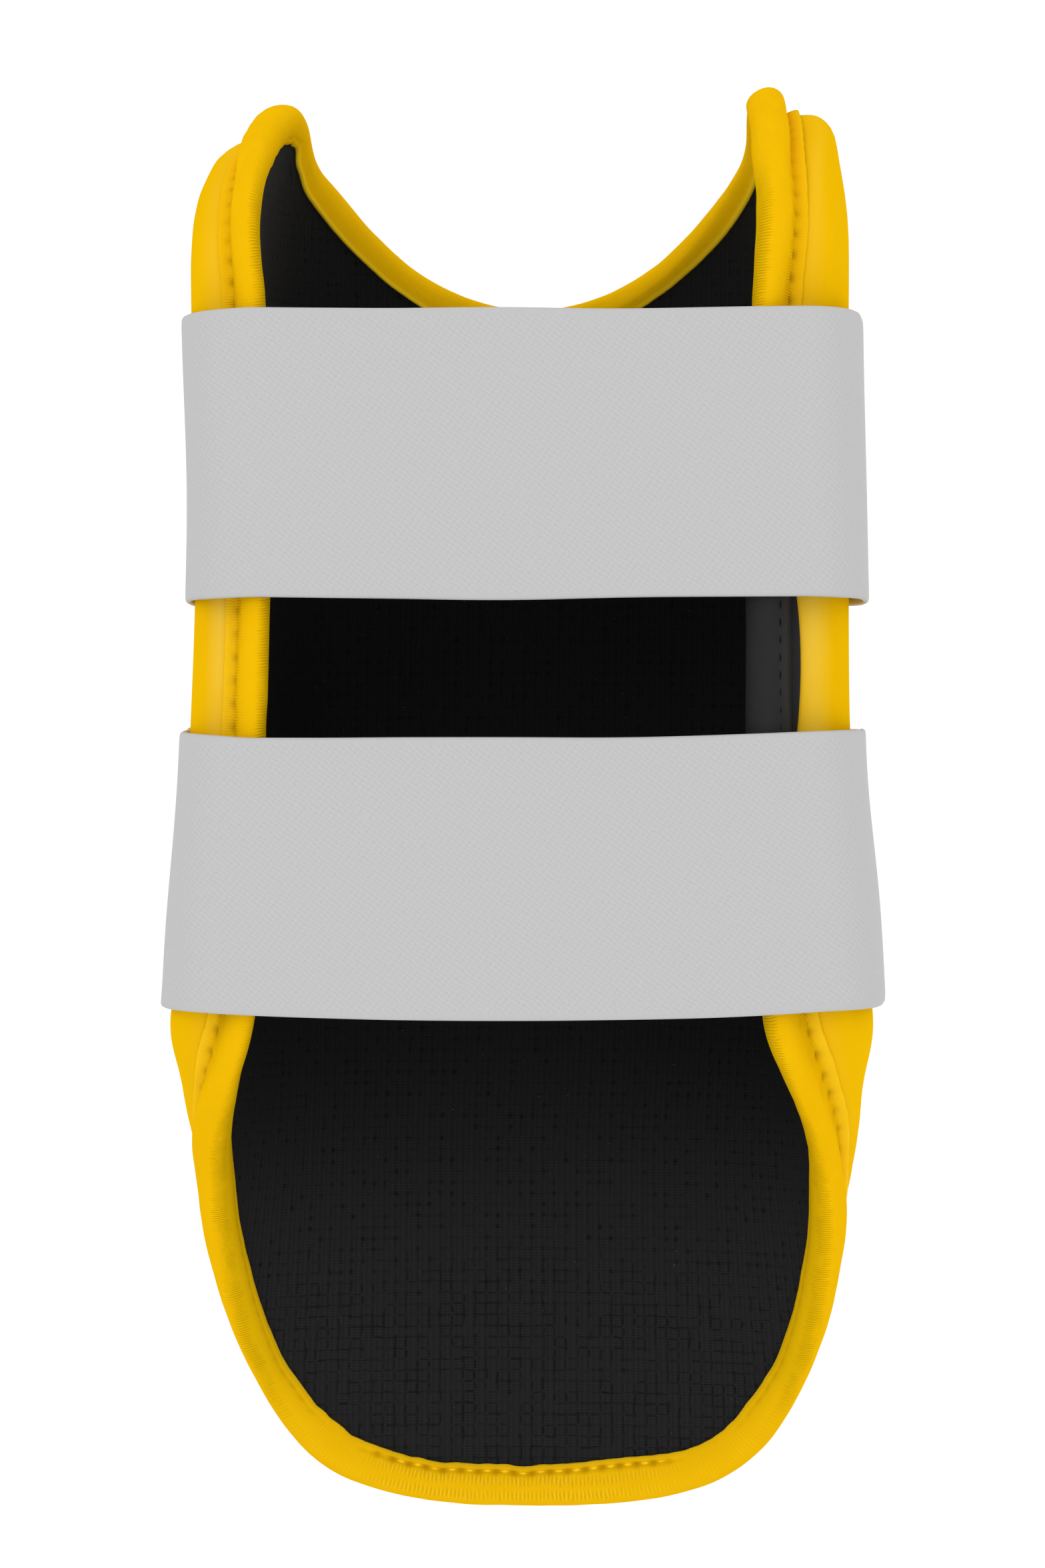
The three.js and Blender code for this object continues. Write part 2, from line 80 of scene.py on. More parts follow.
# around, y, lift of the right half
EDGE = np.array([
    (0, -130.8, 0), (0.145, -130.4, 0), (0.287, -128.2, 0), (0.386, -124.8, 0),
    (0.463, -119.8, 0), (0.522, -113.6, 0), (0.574, -107.5, 0), (0.622, -101.1, 0),
    (0.664, -94.9, 0), (0.709, -87.5, 0), (0.773, -79.0, 0), (0.863, -70.0, 0),
    (1.048, -61.0, 0), (1.240, -52.5, 0), (1.361, -44.5, 0), (1.404, -34.0, 0),
    (1.413, 0, 0), (1.413, 45.0, 0), (1.413, 86.0, 1.0), (1.388, 98.6, 2.0),
    (1.270, 109.0, 3.0), (1.050, 116.0, 4.2), (0.890, 119.4, 4.1), (0.785, 120.9, 2.9),
    (0.722, 121.1, 2.2), (0.676, 119.8, 2.0), (0.640, 116.6, 1.7), (0.585, 112.2, 1.5),
    (0.497, 107.0, 1.0), (0.402, 99.6, 0.9), (0.289, 91.7, 0.8), (0.157, 86.6, 0.3),
    (0, 84.6, 0),
], float)

rng = np.random.default_rng(11)


# ------------------------------------------------------------------ numbers
def blur(values, sigma, wrap=False):
    """Gaussian blur along the first axis; sigma in samples."""
    half = int(math.ceil(3 * sigma))
    k = np.exp(-0.5 * (np.arange(-half, half + 1) / sigma) ** 2)
    k /= k.sum()
    pad = [(half, half)] + [(0, 0)] * (values.ndim - 1)
    big = np.pad(values, pad, mode="wrap" if wrap else "edge")
    out = np.zeros_like(values)
    for i, w in enumerate(k):
        out += w * big[i:i + len(values)]
    return out


def pchip(xs, ys, x):
    h = np.diff(xs)
    d = np.diff(ys) / h
    m = np.zeros_like(ys)
    m[0], m[-1] = d[0], d[-1]
    for i in range(1, len(xs) - 1):
        if d[i - 1] * d[i] > 0:
            w1, w2 = 2 * h[i] + h[i - 1], h[i] + 2 * h[i - 1]
            m[i] = (w1 + w2) / (w1 / d[i - 1] + w2 / d[i])
    k = np.clip(np.searchsorted(xs, x, side="right") - 1, 0, len(xs) - 2)
    t = (x - xs[k]) / h[k]
    return ((1 + 2 * t) * (1 - t) ** 2 * ys[k] + t * (1 - t) ** 2 * h[k] * m[k]
            + t * t * (3 - 2 * t) * ys[k + 1] + t * t * (t - 1) * h[k] * m[k + 1])


_Y = np.arange(-134.0, 128.01, 0.5)
_COL = [blur(pchip(SECTIONS[:, 0], SECTIONS[:, i], _Y), 5.0) for i in range(1, 7)]


def col(i, y):
    return np.interp(y, _Y, _COL[i])


def pad_at(y):
    return col(4, y)


def surface(a, y):
    a = np.asarray(a, float)
    y = np.asarray(y, float)
    n = col(2, y)
    q = np.abs(a)
    turn = np.minimum(q, 1) * (math.pi / 2)
    s, c = np.sin(turn), np.maximum(np.cos(turn), 0)
    r = (s ** n + c ** n) ** (-1 / n)
    wall = np.maximum(q - 1, 0) * WALL_STEP
    x = col(0, y) * r * s - col(3, y) * (wall / TUCK_RUN) ** 2
    z = col(1, y) * (1 - r * c) + wall + BACK_HEIGHT
    return np.stack([np.sign(a) * x + col(5, y), y + 0 * x, z], -1)


def slopes(a, y):
    da, dy = 4e-3, 0.5
    return ((surface(a + da, y) - surface(a - da, y)) / (2 * da),
            (surface(a, y + dy) - surface(a, y - dy)) / (2 * dy))


def unit(v):
    return v / np.maximum(np.linalg.norm(v, axis=-1, keepdims=True), 1e-12)


def outward(a, y):
    p, q = slopes(a, y)
    return -unit(np.cross(p, q))


def smooth_noise(n, step, seed, wrap=True):
    """Smooth 1-D noise with n samples and about one swing every step samples."""
    g = np.random.default_rng(seed).standard_normal(n)
    v = blur(g, step, wrap)
    return v / max(v.std(), 1e-9)


# ------------------------------------------------------------------ the bound edge
def edge_rows():
    right = np.stack([EDGE[:, 0], EDGE[:, 1] + EDGE[:, 2]], -1)
    left = np.stack([-EDGE[-2:0:-1, 0], EDGE[-2:0:-1, 1]], -1)
    return np.concatenate([right, left])


def edge_loop(count, start=0.0):
    """Even stations round the edge, from the foot of the tongue and up the right side."""
    rows = edge_rows()
    m = len(rows)
    spots = surface(rows[:, 0], rows[:, 1])
    runs = np.linalg.norm(np.roll(spots, -1, 0) - spots, axis=1)
    grade = np.zeros_like(rows)
    for i in range(m):
        h0, h1 = runs[i - 1], runs[i]
        d0 = (rows[i] - rows[i - 1]) / h0
        d1 = (rows[(i + 1) % m] - rows[i]) / h1
        grade[i] = (h1 * d0 + h0 * d1) / (h0 + h1)
    fine = []
    for i in range(m):
        u = np.linspace(0, 1, 60, endpoint=False)[:, None]
        k = (i + 1) % m
        h = runs[i]
        fine.append((1 + 2 * u) * (1 - u) ** 2 * rows[i] + u * (1 - u) ** 2 * h * grade[i]
                    + u * u * (3 - 2 * u) * rows[k] + u * u * (u - 1) * h * grade[k])
    fine = np.concatenate(fine)
    for _ in range(2):
        p = surface(fine[:, 0], fine[:, 1])
        s = np.concatenate([[0], np.cumsum(np.linalg.norm(np.roll(p, -1, 0) - p, axis=1))])
        t = np.linspace(0, s[-1], 4000, endpoint=False)
        ring = np.concatenate([fine, fine[:1]])
        fine = np.stack([np.interp(t, s, ring[:, j]) for j in (0, 1)], -1)
        fine = blur(fine, 1.3 / (s[-1] / 4000), True)
    p = surface(fine[:, 0], fine[:, 1])
    s = np.concatenate([[0], np.cumsum(np.linalg.norm(np.roll(p, -1, 0) - p, axis=1))])
    t = (np.linspace(0, s[-1], count, endpoint=False) + start * s[-1]) % s[-1]
    ring = np.concatenate([fine, fine[:1]])
    at = np.stack([np.interp(t, s, ring[:, j]) for j in (0, 1)], -1)
    return at, s[-1]


class Frames:
    """Frames on the edge: out runs off the wall's edge, up runs away from the arm."""

    def __init__(self, at, length=None, closed=True):
        self.a, self.y = at[:, 0], at[:, 1]
        self.n = len(at)
        self.length = length
        self.spot = surface(self.a, self.y)
        self.up = outward(self.a, self.y)
        if closed:
            along = np.roll(self.spot, -1, 0) - np.roll(self.spot, 1, 0)
        else:
            along = np.gradient(self.spot, axis=0)
        self.along = unit(along)
        if closed:
            self.up = unit(blur(self.up, 2.0, True))
        self.out = unit(np.cross(self.up, self.along))
        p, q = slopes(self.a, self.y)
        aa, ay, yy = (p * p).sum(-1), (p * q).sum(-1), (q * q).sum(-1)
        oa, oy = -(self.out * p).sum(-1), -(self.out * q).sum(-1)
        det = aa * yy - ay * ay
        self.sa, self.sy = (oa * yy - oy * ay) / det, (oy * aa - oa * ay) / det
        if closed:
            self.sa, self.sy = blur(self.sa, 2.0, True), blur(self.sy, 2.0, True)
            step = length / self.n
            turn = (np.roll(self.along, -1, 0) - np.roll(self.along, 1, 0)) / (2 * step)
            bend = -(turn * self.out).sum(-1)
            self.room = 1 / np.maximum(blur(bend, 1.5 / step, True), 1e-3)
        else:
            self.room = np.full(self.n, 1e3)

    def inward(self, d):
        """Wall coordinates d mm in from the edge; d is (n, m)."""
        return self.a[:, None] + self.sa[:, None] * d, self.y[:, None] + self.sy[:, None] * d

    def place(self, d, h):
        """Points d mm in from the edge (out past it below 0) and h mm off the wall's middle."""
        a, y = self.inward(np.maximum(d, 0))
        p = surface(a, y)
        n = outward(a, y)
        mix = np.clip(d / 2.0, 0, 1)[..., None]
        n = unit(n * mix + self.up[:, None, :] * (1 - mix))
        return p + n * h[..., None] + self.out[:, None, :] * np.maximum(-d, 0)[..., None]


def pad_thickness(d, y):
    u = np.clip((d - STITCH_LINE) / PAD_RISE, 0, 1)
    return PAD_EDGE + (pad_at(y) - PAD_EDGE) * (1 - (1 - u) ** 2) ** PAD_FULL


def pad_depth(thick, y):
    """How far in the pad reaches that thickness, and the lean of its face there."""
    share = np.clip((thick - PAD_EDGE) / (pad_at(y) - PAD_EDGE), 1e-4, 0.999) ** (1 / PAD_FULL)
    u = 1 - np.sqrt(1 - share)
    steep = (pad_at(y) - PAD_EDGE) * PAD_FULL * 2 * (1 - u) * share ** ((PAD_FULL - 1)) / PAD_RISE
    return STITCH_LINE + PAD_RISE * u, np.arctan(steep)


FINE_AT, EDGE_LENGTH = edge_loop(4000)
FINE_EDGE = surface(FINE_AT[:, 0], FINE_AT[:, 1])


def edge_distance(points):
    flat = points.reshape(-1, 3)
    out = np.empty(len(flat))
    ref = FINE_EDGE[::4]
    for i in range(0, len(flat), 1500):
        out[i:i + 1500] = np.sqrt(((flat[i:i + 1500, None, :] - ref[None]) ** 2).sum(-1)).min(1)
    return out.reshape(points.shape[:-1])


# ------------------------------------------------------------------ meshes
def to_frame(p):
    return (np.asarray(p, float) - ORIGIN) / 1000.0


def add_mesh(name, points, faces, uv=None, extra=None, smooth=True):
    mesh = bpy.data.meshes.new(name)
    mesh.from_pydata(to_frame(points).tolist(), [], [list(map(int, f)) for f in faces])
    if uv is not None:
        layer = mesh.uv_layers.new(name="cut")
        layer.data.foreach_set("uv", np.asarray(uv, np.float32).ravel())
    for key, values in (extra or {}).items():
        at = mesh.attributes.new(key, "FLOAT", "POINT")
        at.data.foreach_set("value", np.asarray(values, np.float32).ravel())
    if smooth:
        mesh.polygons.foreach_set("use_smooth", np.ones(len(mesh.polygons), bool))
    mesh.update()
    mesh.validate()
    obj = bpy.data.objects.new(name, mesh)
    bpy.context.scene.collection.objects.link(obj)
    return obj


def grid_faces(rows, cols, wrap_rows=False, start=0):
    """Quads of a rows x cols grid of points, as an array (quads, 4)."""
    i = np.arange(rows if wrap_rows else rows - 1)
    j = np.arange(cols - 1)
    ii, jj = np.meshgrid(i, j, indexing="ij")
    n = (ii + 1) % rows
    return np.stack([ii * cols + jj, n * cols + jj, n * cols + jj + 1, ii * cols + jj + 1], -1).reshape(-1, 4) + start


def outward_faces(points, faces):
    """Whether the closed mesh's faces point outward; the callers turn them over when not."""
    p = np.asarray(points)
    tri = np.concatenate([faces[:, [0, 1, 2]], faces[:, [0, 2, 3]]])
    o = p.mean(0)
    v = np.einsum("ij,ij->i", p[tri[:, 0]] - o, np.cross(p[tri[:, 1]] - o, p[tri[:, 2]] - o)).sum()
    return v >= 0


# ------------------------------------------------------------------ wall grid of pad and lining
WALL_COUNT = 520
RIM = np.array([0, 1.5, 3.0, 3.5, 3.58, 3.72, 3.92, 4.2, 4.6, 5.2, 6.0, 7.0])
SHARES = np.linspace(0, 1, 31)[1:] ** 1.25


class Wall:
    def __init__(self):
        at, length = edge_loop(WALL_COUNT)
        fr = Frames(at, length)
        half = WALL_COUNT // 2
        k = np.arange(WALL_COUNT)
        mirror = np.minimum(k, WALL_COUNT - k)
        spine = SPINE_LOW + (SPINE_HIGH - SPINE_LOW) * (mirror / half)
        room = np.minimum(fr.room, np.minimum(np.roll(fr.room, 2), np.roll(fr.room, -2)))
        tight = blur(np.clip(0.72 * room / RIM[-1], 0.4, 1), 2.0, True)
        runs = RIM[None, :] * np.where(RIM > STITCH_LINE, tight[:, None], np.minimum(1, tight[:, None] * 1.6))
        runs = np.maximum.accumulate(runs, 1)
        a, y = fr.inward(runs)
        fa, fy = a[:, -1:], y[:, -1:]
        a = np.concatenate([a, fa * (1 - SHARES)], 1)
        y = np.concatenate([y, fy + (spine[:, None] - fy) * SHARES], 1)
        self.a, self.y = a, y
        self.rows = a.shape[1]
        self.spot = surface(a, y)
        self.normal = outward(a, y)
        near = np.minimum(runs, edge_distance(self.spot[:, :len(RIM)]) + 0.05)
        near = np.where(tight[:, None] > 0.999, runs, near)
        self.d = np.concatenate([near, np.maximum(near[:, -1:], edge_distance(self.spot[:, len(RIM):]))], 1)
        self.mirror = mirror

    def smooth(self, values, keep, rounds):
        """Evens out a field over the wall, past the first keep rows."""
        v = values.copy()
        back = (-np.arange(WALL_COUNT)) % WALL_COUNT
        for _ in range(rounds):
            side = (np.roll(v, 1, 0) + np.roll(v, -1, 0)) / 2
            low = np.concatenate([v[:, :1], v[:, :-1]], 1)
            high = np.concatenate([v[:, 1:], v[back, -2:-1]], 1)
            w = 0.5 * v + 0.25 * side + 0.125 * (low + high)
            v[:, keep:] = w[:, keep:]
            v[:, -1] = (v[:, -1] + v[back, -1]) / 2
        return v


WALL = Wall()


def arc_table():
    aa = np.linspace(0, 1.5, 301)
    yy = np.linspace(-134, 128, 132)
    A, Y = np.meshgrid(aa, yy)
    p = surface(A, Y)
    run = np.linalg.norm(np.diff(p[..., [0, 2]], axis=1), axis=-1)
    return aa, yy, np.concatenate([np.zeros((len(yy), 1)), np.cumsum(run, 1)], 1)


_AA, _YY, _ARC = arc_table()


def across(a, y):
    """Cloth run from the back line to this spot, along its section."""
    fa = np.clip(np.abs(a) / (_AA[1] - _AA[0]), 0, len(_AA) - 1.001)
    fy = np.clip((y - _YY[0]) / (_YY[1] - _YY[0]), 0, len(_YY) - 1.001)
    i, j = fa.astype(int), fy.astype(int)
    u, v = fa - i, fy - j
    r = ((1 - u) * (1 - v) * _ARC[j, i] + u * (1 - v) * _ARC[j, i + 1]
         + (1 - u) * v * _ARC[j + 1, i] + u * v * _ARC[j + 1, i + 1])
    return np.sign(a) * r


def wall_mesh(name, face_a, face_b, marks=None):
    """A closed wall between two point grids over the wall; face_a is the one that shows."""
    count, rows = WALL.a.shape
    pts = []
    index = np.zeros((2, count, rows), int)
    uvs, mark = [], []
    wall_u = across(WALL.a, WALL.y)
    for f, grid in enumerate((face_a, face_b)):
        for k in range(count):
            m = WALL.mirror[k]
            for j in range(rows):
                if j == rows - 1 and k > count // 2:
                    index[f, k, j] = index[f, m, j]
                    continue
                index[f, k, j] = len(pts)
                pts.append(grid[k, j])
                uvs.append((wall_u[k, j], WALL.y[k, j]))
                mark.append(0.0 if marks is None else marks[k, j])
    pts, uvs = np.array(pts), np.array(uvs)
    k = np.arange(count)
    n = (k + 1) % count
    faces = []
    for j in range(rows - 1):
        faces.append(np.stack([index[0, k, j], index[0, n, j], index[0, n, j + 1], index[0, k, j + 1]], -1))
        faces.append(np.stack([index[1, k, j], index[1, k, j + 1], index[1, n, j + 1], index[1, n, j]], -1))
    faces.append(np.stack([index[0, k, 0], index[1, k, 0], index[1, n, 0], index[0, n, 0]], -1))
    faces = np.concatenate(faces)
    if not outward_faces(pts, faces):
        faces = faces[:, ::-1]
    clean = []
    for f in faces.tolist():
        g = [v for i, v in enumerate(f) if v != f[i - 1]]
        if len(g) > 2:
            clean.append(g)
    uv = [uvs[v] for f in clean for v in f]
    return add_mesh(name, pts, clean, uv, None if marks is None else {"painted_sheen_band": mark})


def rise(v, a, b):
    u = np.clip((v - a) / (b - a), 0, 1)
    return u * u * (3 - 2 * u)


def swell(a, y):
    """Extra fullness of the pad beside the edge: by the right tip and below the lower strap."""
    return np.where(a > 0, 1.2 * rise(y, 102, 114) + 1.4 * np.exp(-((y + 78) / 9) ** 2), 0.5 * np.exp(-((y + 78) / 11) ** 2))


def make_shell():
    thick = pad_thickness(WALL.d, WALL.y)
    thick = thick + swell(WALL.a, WALL.y) * rise(WALL.d, 3.2, 4.2) * np.exp(-(np.maximum(WALL.d - 4.2, 0) / 9) ** 2)
    even_out = WALL.smooth(thick, 5, 70)
    thick = WALL.smooth(thick, len(RIM), 14)
    thick = thick + (even_out - thick) * rise(WALL.y, 96, 106) * (WALL.a > 0)
    thick = thick + 1.0 * (WALL.a > 0) * rise(WALL.y, 108, 116) * rise(WALL.d, 2.9, 4.4) * np.exp(-(np.maximum(WALL.d - 4.6, 0) / 7) ** 2)
    thick = np.where(np.arange(WALL.rows) < 3, 1.5, thick)
    outer = WALL.spot + WALL.normal * thick[..., None]
    lift = outer[..., 2] - REST_CUT
    outer[..., 2] = REST_CUT + 0.5 * (lift + np.sqrt(lift ** 2 + 0.5 ** 2)) - 0.02
    inner = WALL.spot + WALL.normal * PLY_GAP
    broad = (WALL.a > 0) * rise(WALL.y, -12, 0) * (1 - rise(WALL.y, 38, 50))
    # painted highlight: a band a few mm in from the tape where the shell colour is made paler, in place of a satin
    # sheen
    painted_sheen_band = np.exp(-((WALL.d - 4.6) / np.where(WALL.d > 4.6, 0.75 + 0.75 * broad, 0.75)) ** 2) * np.clip((WALL.y + 45) / 25, 0.12, 1) * np.clip((90 - WALL.y) / 12, 0.25, 1)
    return wall_mesh("shell_pad", outer, inner, painted_sheen_band)


def make_lining():
    u = across(WALL.a, WALL.y)
    v = WALL.y
    wave = (0.16 * np.sin(u / 9.0 + 0.7 * np.sin(v / 17.0)) * np.sin(v / 13.0 + 0.5)
            + 0.10 * np.sin(u / 4.1 + v / 23.0))
    wave *= np.clip((WALL.d - 5) / 8, 0, 1)
    face = WALL.spot - WALL.normal * (PLY_GAP + LINING_THICK + wave)[..., None]
    back = WALL.spot - WALL.normal * PLY_GAP
    return wall_mesh("lining_mesh", face, back)


# ------------------------------------------------------------------ bound tape
TAPE_COUNT = 1560
ROLL_OUT = 3.275
ROLL_MID = -0.15
STITCH_PITCH = 4.2
FOOT_PITCH = 3.4


def strip(name, rings, us, vs, closed, extra=None):
    """Skins rings (stations, ring, 3) whose rings are closed; us (stations + 1), vs (stations, ring + 1)."""
    count, size = rings.shape[:2]
    pts = rings.reshape(-1, 3)
    faces, uv = [], []
    spans = count if closed else count - 1
    k = np.arange(spans)
    n = (k + 1) % count
    for j in range(size):
        m = (j + 1) % size
        faces.append(np.stack([k * size + j, n * size + j, n * size + m, k * size + m], -1))
        uv.append(np.stack([np.stack([us[k], vs[k, j]], -1), np.stack([us[k + 1], vs[n, j]], -1),
                            np.stack([us[k + 1], vs[n, j + 1]], -1), np.stack([us[k], vs[k, j + 1]], -1)], 1))
    faces = np.concatenate(faces)
    uv = np.concatenate(uv)
    flip = not outward_faces(pts, faces) if closed else False
    if flip:
        faces, uv = faces[:, ::-1], uv[:, ::-1]
    obj = add_mesh(name, pts, faces.tolist(), uv.reshape(-1, 2), extra)
    return obj


def tape_profile(fr, sizes, tail, leg, dips_out, dips_in, lumps, seam_in, flat):
    """Outer face of the folded tape as (d, h) pairs, from the tail's edge over the roll to the inner leg's edge."""
    one = np.ones(fr.n)
    y = fr.y
    top, low, sewn, out, lift = sizes
    thick = 0.6
    D, H, tag = [], [], []

    def put(d, h, t):
        D.append(d * one)
        H.append(h * one)
        tag.append(t)

    # the tail lies on the swelling pad
    end, lean = pad_depth(PAD_EDGE + tail, y)
    past, _ = pad_depth(PAD_EDGE + tail + 0.22, y)
    put(past - lift * np.sin(lean), PAD_EDGE + tail + 0.22 + lift * np.cos(lean), 0)
    put(end + 0.10 - (0.30 + lift) * np.sin(lean), PAD_EDGE + tail + 0.18 + (0.30 + lift) * np.cos(lean), 0)
    put(end - (0.52 + lift) * np.sin(lean), PAD_EDGE + tail + 0.06 + (0.52 + lift) * np.cos(lean), 0)
    start = np.clip((sewn - 2.86) / tail, 0, 0.8)
    for part in (0.86, 0.66, 0.48, 0.32, 0.18):
        t = start + (1 - start) * part
        d, lean = pad_depth(PAD_EDGE + tail * t, y)
        off = thick - 0.16 * dips_out * (1 - part) + lift * min(1, 0.2 + part)
        put(d - off * np.sin(lean), PAD_EDGE + tail * t + off * np.cos(lean), 0)
    valley = sewn - 0.60 * dips_out
    put(2.82 + 0.08 * dips_out, valley, 1)
    for t in (0.95, 0.86, 0.74, 0.6, 0.42, 0.22):
        slope = top + lumps + (sewn - 0.06 - top) * t ** 1.6
        sunk = np.clip((t - 0.70) / 0.30, 0, 1) ** 1.5
        hill = valley + (top + lumps - valley) * (1 - t ** 2.6) ** 0.7
        put(2.80 * t, np.where(top < sewn, slope + (valley - sewn + 0.06) * sunk, hill), 2)
    for deg in (90, 76, 62, 48, 34, 20, 7, -7, -20, -34, -48, -62, -76, -90):
        th = math.radians(deg)
        reach = (top + lumps - ROLL_MID) if deg > 0 else (low + lumps + ROLL_MID)
        put(-(out + lumps) * math.cos(th), ROLL_MID + reach * math.sin(th), 3)
    floor = PLY_GAP + LINING_THICK
    sew = np.maximum(leg - 1.25, 0.3)
    foot = floor + 0.50
    for d in [sew * t for t in (0.25, 0.5, 0.7, 0.84, 0.94, 1.0)] + [sew + 0.2, sew + 0.42, sew + 0.72]:
        share = np.clip(d / leg, 0, 1)
        h = foot + (low + lumps - foot) * (1 - share ** (1.9 - 0.5 * flat)) ** (0.8 + 0.35 * flat)
        groove = np.exp(-((d - sew) / 0.34) ** 2) * seam_in * (0.30 + 0.42 * dips_in)
        puff = np.exp(-((d - sew - 0.62) / 0.34) ** 2) * seam_in * 0.22
        put(d, -(h - groove + puff), 4)
    put(leg - 0.10, -(foot + 0.06 + 0.10 * flat), 6)
    put(leg + 0.04, -(floor + 0.28), 6)
    put(leg + 0.08, -(floor + 0.01), 6)
    D, H = np.stack(D, 1), np.stack(H, 1)
    return D, H, tag


def make_tape():
    at, length = edge_loop(TAPE_COUNT, 0.5)
    fr = Frames(at, length)
    s = np.arange(TAPE_COUNT) * (length / TAPE_COUNT)
    step = length / TAPE_COUNT
    height, turn = fr.y, np.abs(fr.a)
    slower = 1 + 0.5 * rise(-height, 34, 50) * (1 - rise(-height, 84, 100))
    count = np.concatenate([[0], np.cumsum(1 / slower)]) * step / STITCH_PITCH
    holes = int(round(count[-1]))
    count = count * (holes / count[-1])
    mids = np.interp(np.arange(holes) + 0.5, count, np.arange(TAPE_COUNT + 1) * step)

    # how far the inner leg reaches: short at the scoop, long at the tongue's foot
    low = rise(-height, 62, 84)
    foot = rise(-height, 104, 124)
    high = rise(height, 80, 92) * rise(-turn, -0.74, -0.62)
    leg = 3.2 - 0.55 * low + 1.7 * foot
    leg = leg + (2.1 + 1.2 * rise(height, 92, 108) - leg) * high
    seam_in = (0.22 + 0.78 * foot) * (1 - high)
    dips = 0.5 + 0.5 * np.cos(2 * math.pi * count[:-1])
    strength = np.clip(0.85 + 0.3 * smooth_noise(TAPE_COUNT, 3 / step, 3), 0.25, 1.35)
    strength = strength * (1 - 0.55 * (fr.a > 0) * rise(height, 98, 107))
    dips_out, spots = dips ** 2.5 * strength, dips ** 4 * strength
    feet = int(round(length / FOOT_PITCH))
    dips_in = (0.5 + 0.5 * np.cos(2 * math.pi * s * feet / length)) ** 2
    at_x = surface(fr.a, fr.y)[:, 0]
    ragged = smooth_noise(TAPE_COUNT, 1.3 / step, 5) * (1 - 0.85 * rise(at_x, -10, 8) * foot)
    leg = leg + (0.06 * (0.5 - dips_in) + 0.16 * ragged) * (0.2 + 0.8 * foot) + 0.03 * smooth_noise(TAPE_COUNT, 2.5 / step, 6)
    leg = leg + foot * (0.65 * np.exp(-((at_x - 14) / 9) ** 2) - 0.40 * np.exp(-((at_x - 36) / 7) ** 2)
                        + 0.28 * np.exp(-((at_x - 22) / 6) ** 2) - 0.22 * np.exp(-((at_x + 20) / 6) ** 2))
    seam_in = seam_in * (1 - rise(at_x, 23, 30) * foot) * (1 - rise(-at_x, 28, 36) * foot)
    leg = leg + 0.28 * ragged * (fr.a < 0) * rise(height, 108, 116)
    # the roll's outer and inner bulge and the seam's height, side by side
    left, right = (fr.a < 0).astype(float), (fr.a > 0).astype(float)
    wing = (left * rise(height, -60, -50) + right * rise(height, -78, -66)) * (1 - rise(height, 108, 116))
    top = 3.85 - 1.55 * wing + 0.35 * wing * left - 0.8 * right * rise(height, 106, 114)
    low_roll = (3.05 - 0.50 * wing * left + right * (0.40 * rise(height, 70, 90) + 1.2 * np.exp(-((height + 42) / 8) ** 2)
                + 0.5 * rise(height, 90, 98) * (1 - rise(height, 110, 116))))
    sewn = 2.86 + 0.38 * wing * left
    # by the right tip the front roll leans in over the arm
    tip = right * rise(height, 105, 113) * (1 - rise(-turn, -0.88, -0.78))
    top, low_roll, sewn = top - 0.45 * tip, low_roll + 0.85 * tip, sewn - 0.55 * tip
    out = ROLL_OUT - right * (0.5 * rise(height, 98, 110) * rise(-turn, -0.82, -0.74) + 0.6 * rise(height, 115, 121))
    lift = swell(fr.a, height) * (1 - 0.35 * rise(height, 106, 116)) - 0.10 * right * rise(height, 107, 114)
    under_label = right * rise(height, -1, 3) * (1 - rise(height, 40, 44))
    top, low_roll, sewn, out, lift = (blur(v, 3 / step, True) for v in (top, low_roll, sewn, out, lift))
    tail = 2.2 + 0.35 * wing * left + 0.06 * smooth_noise(TAPE_COUNT, 3 / step, 7) + 0.06 * (0.5 - dips)
    tail = tail * (1 - 0.55 * under_label) * (1 - right * 0.15 * rise(height, 106, 114))
    room = np.minimum(fr.room, np.minimum(np.roll(fr.room, 6), np.roll(fr.room, -6)))
    tail = tail * blur(np.clip((room - 3.0) / 4.0, 0.25, 1), 3 / step, True)
    leg = np.minimum(leg, blur(np.clip(0.75 * room, 1.5, 9), 3 / step, True))
    lumps = 0.05 * smooth_noise(TAPE_COUNT, 5 / step, 9) + 0.03 * smooth_noise(TAPE_COUNT, 1.4 / step, 10)
    D, H, tag = tape_profile(fr, (top, low_roll, sewn, out, lift), tail, leg, dips_out, dips_in, lumps, seam_in, high)
    face = fr.place(D, H)
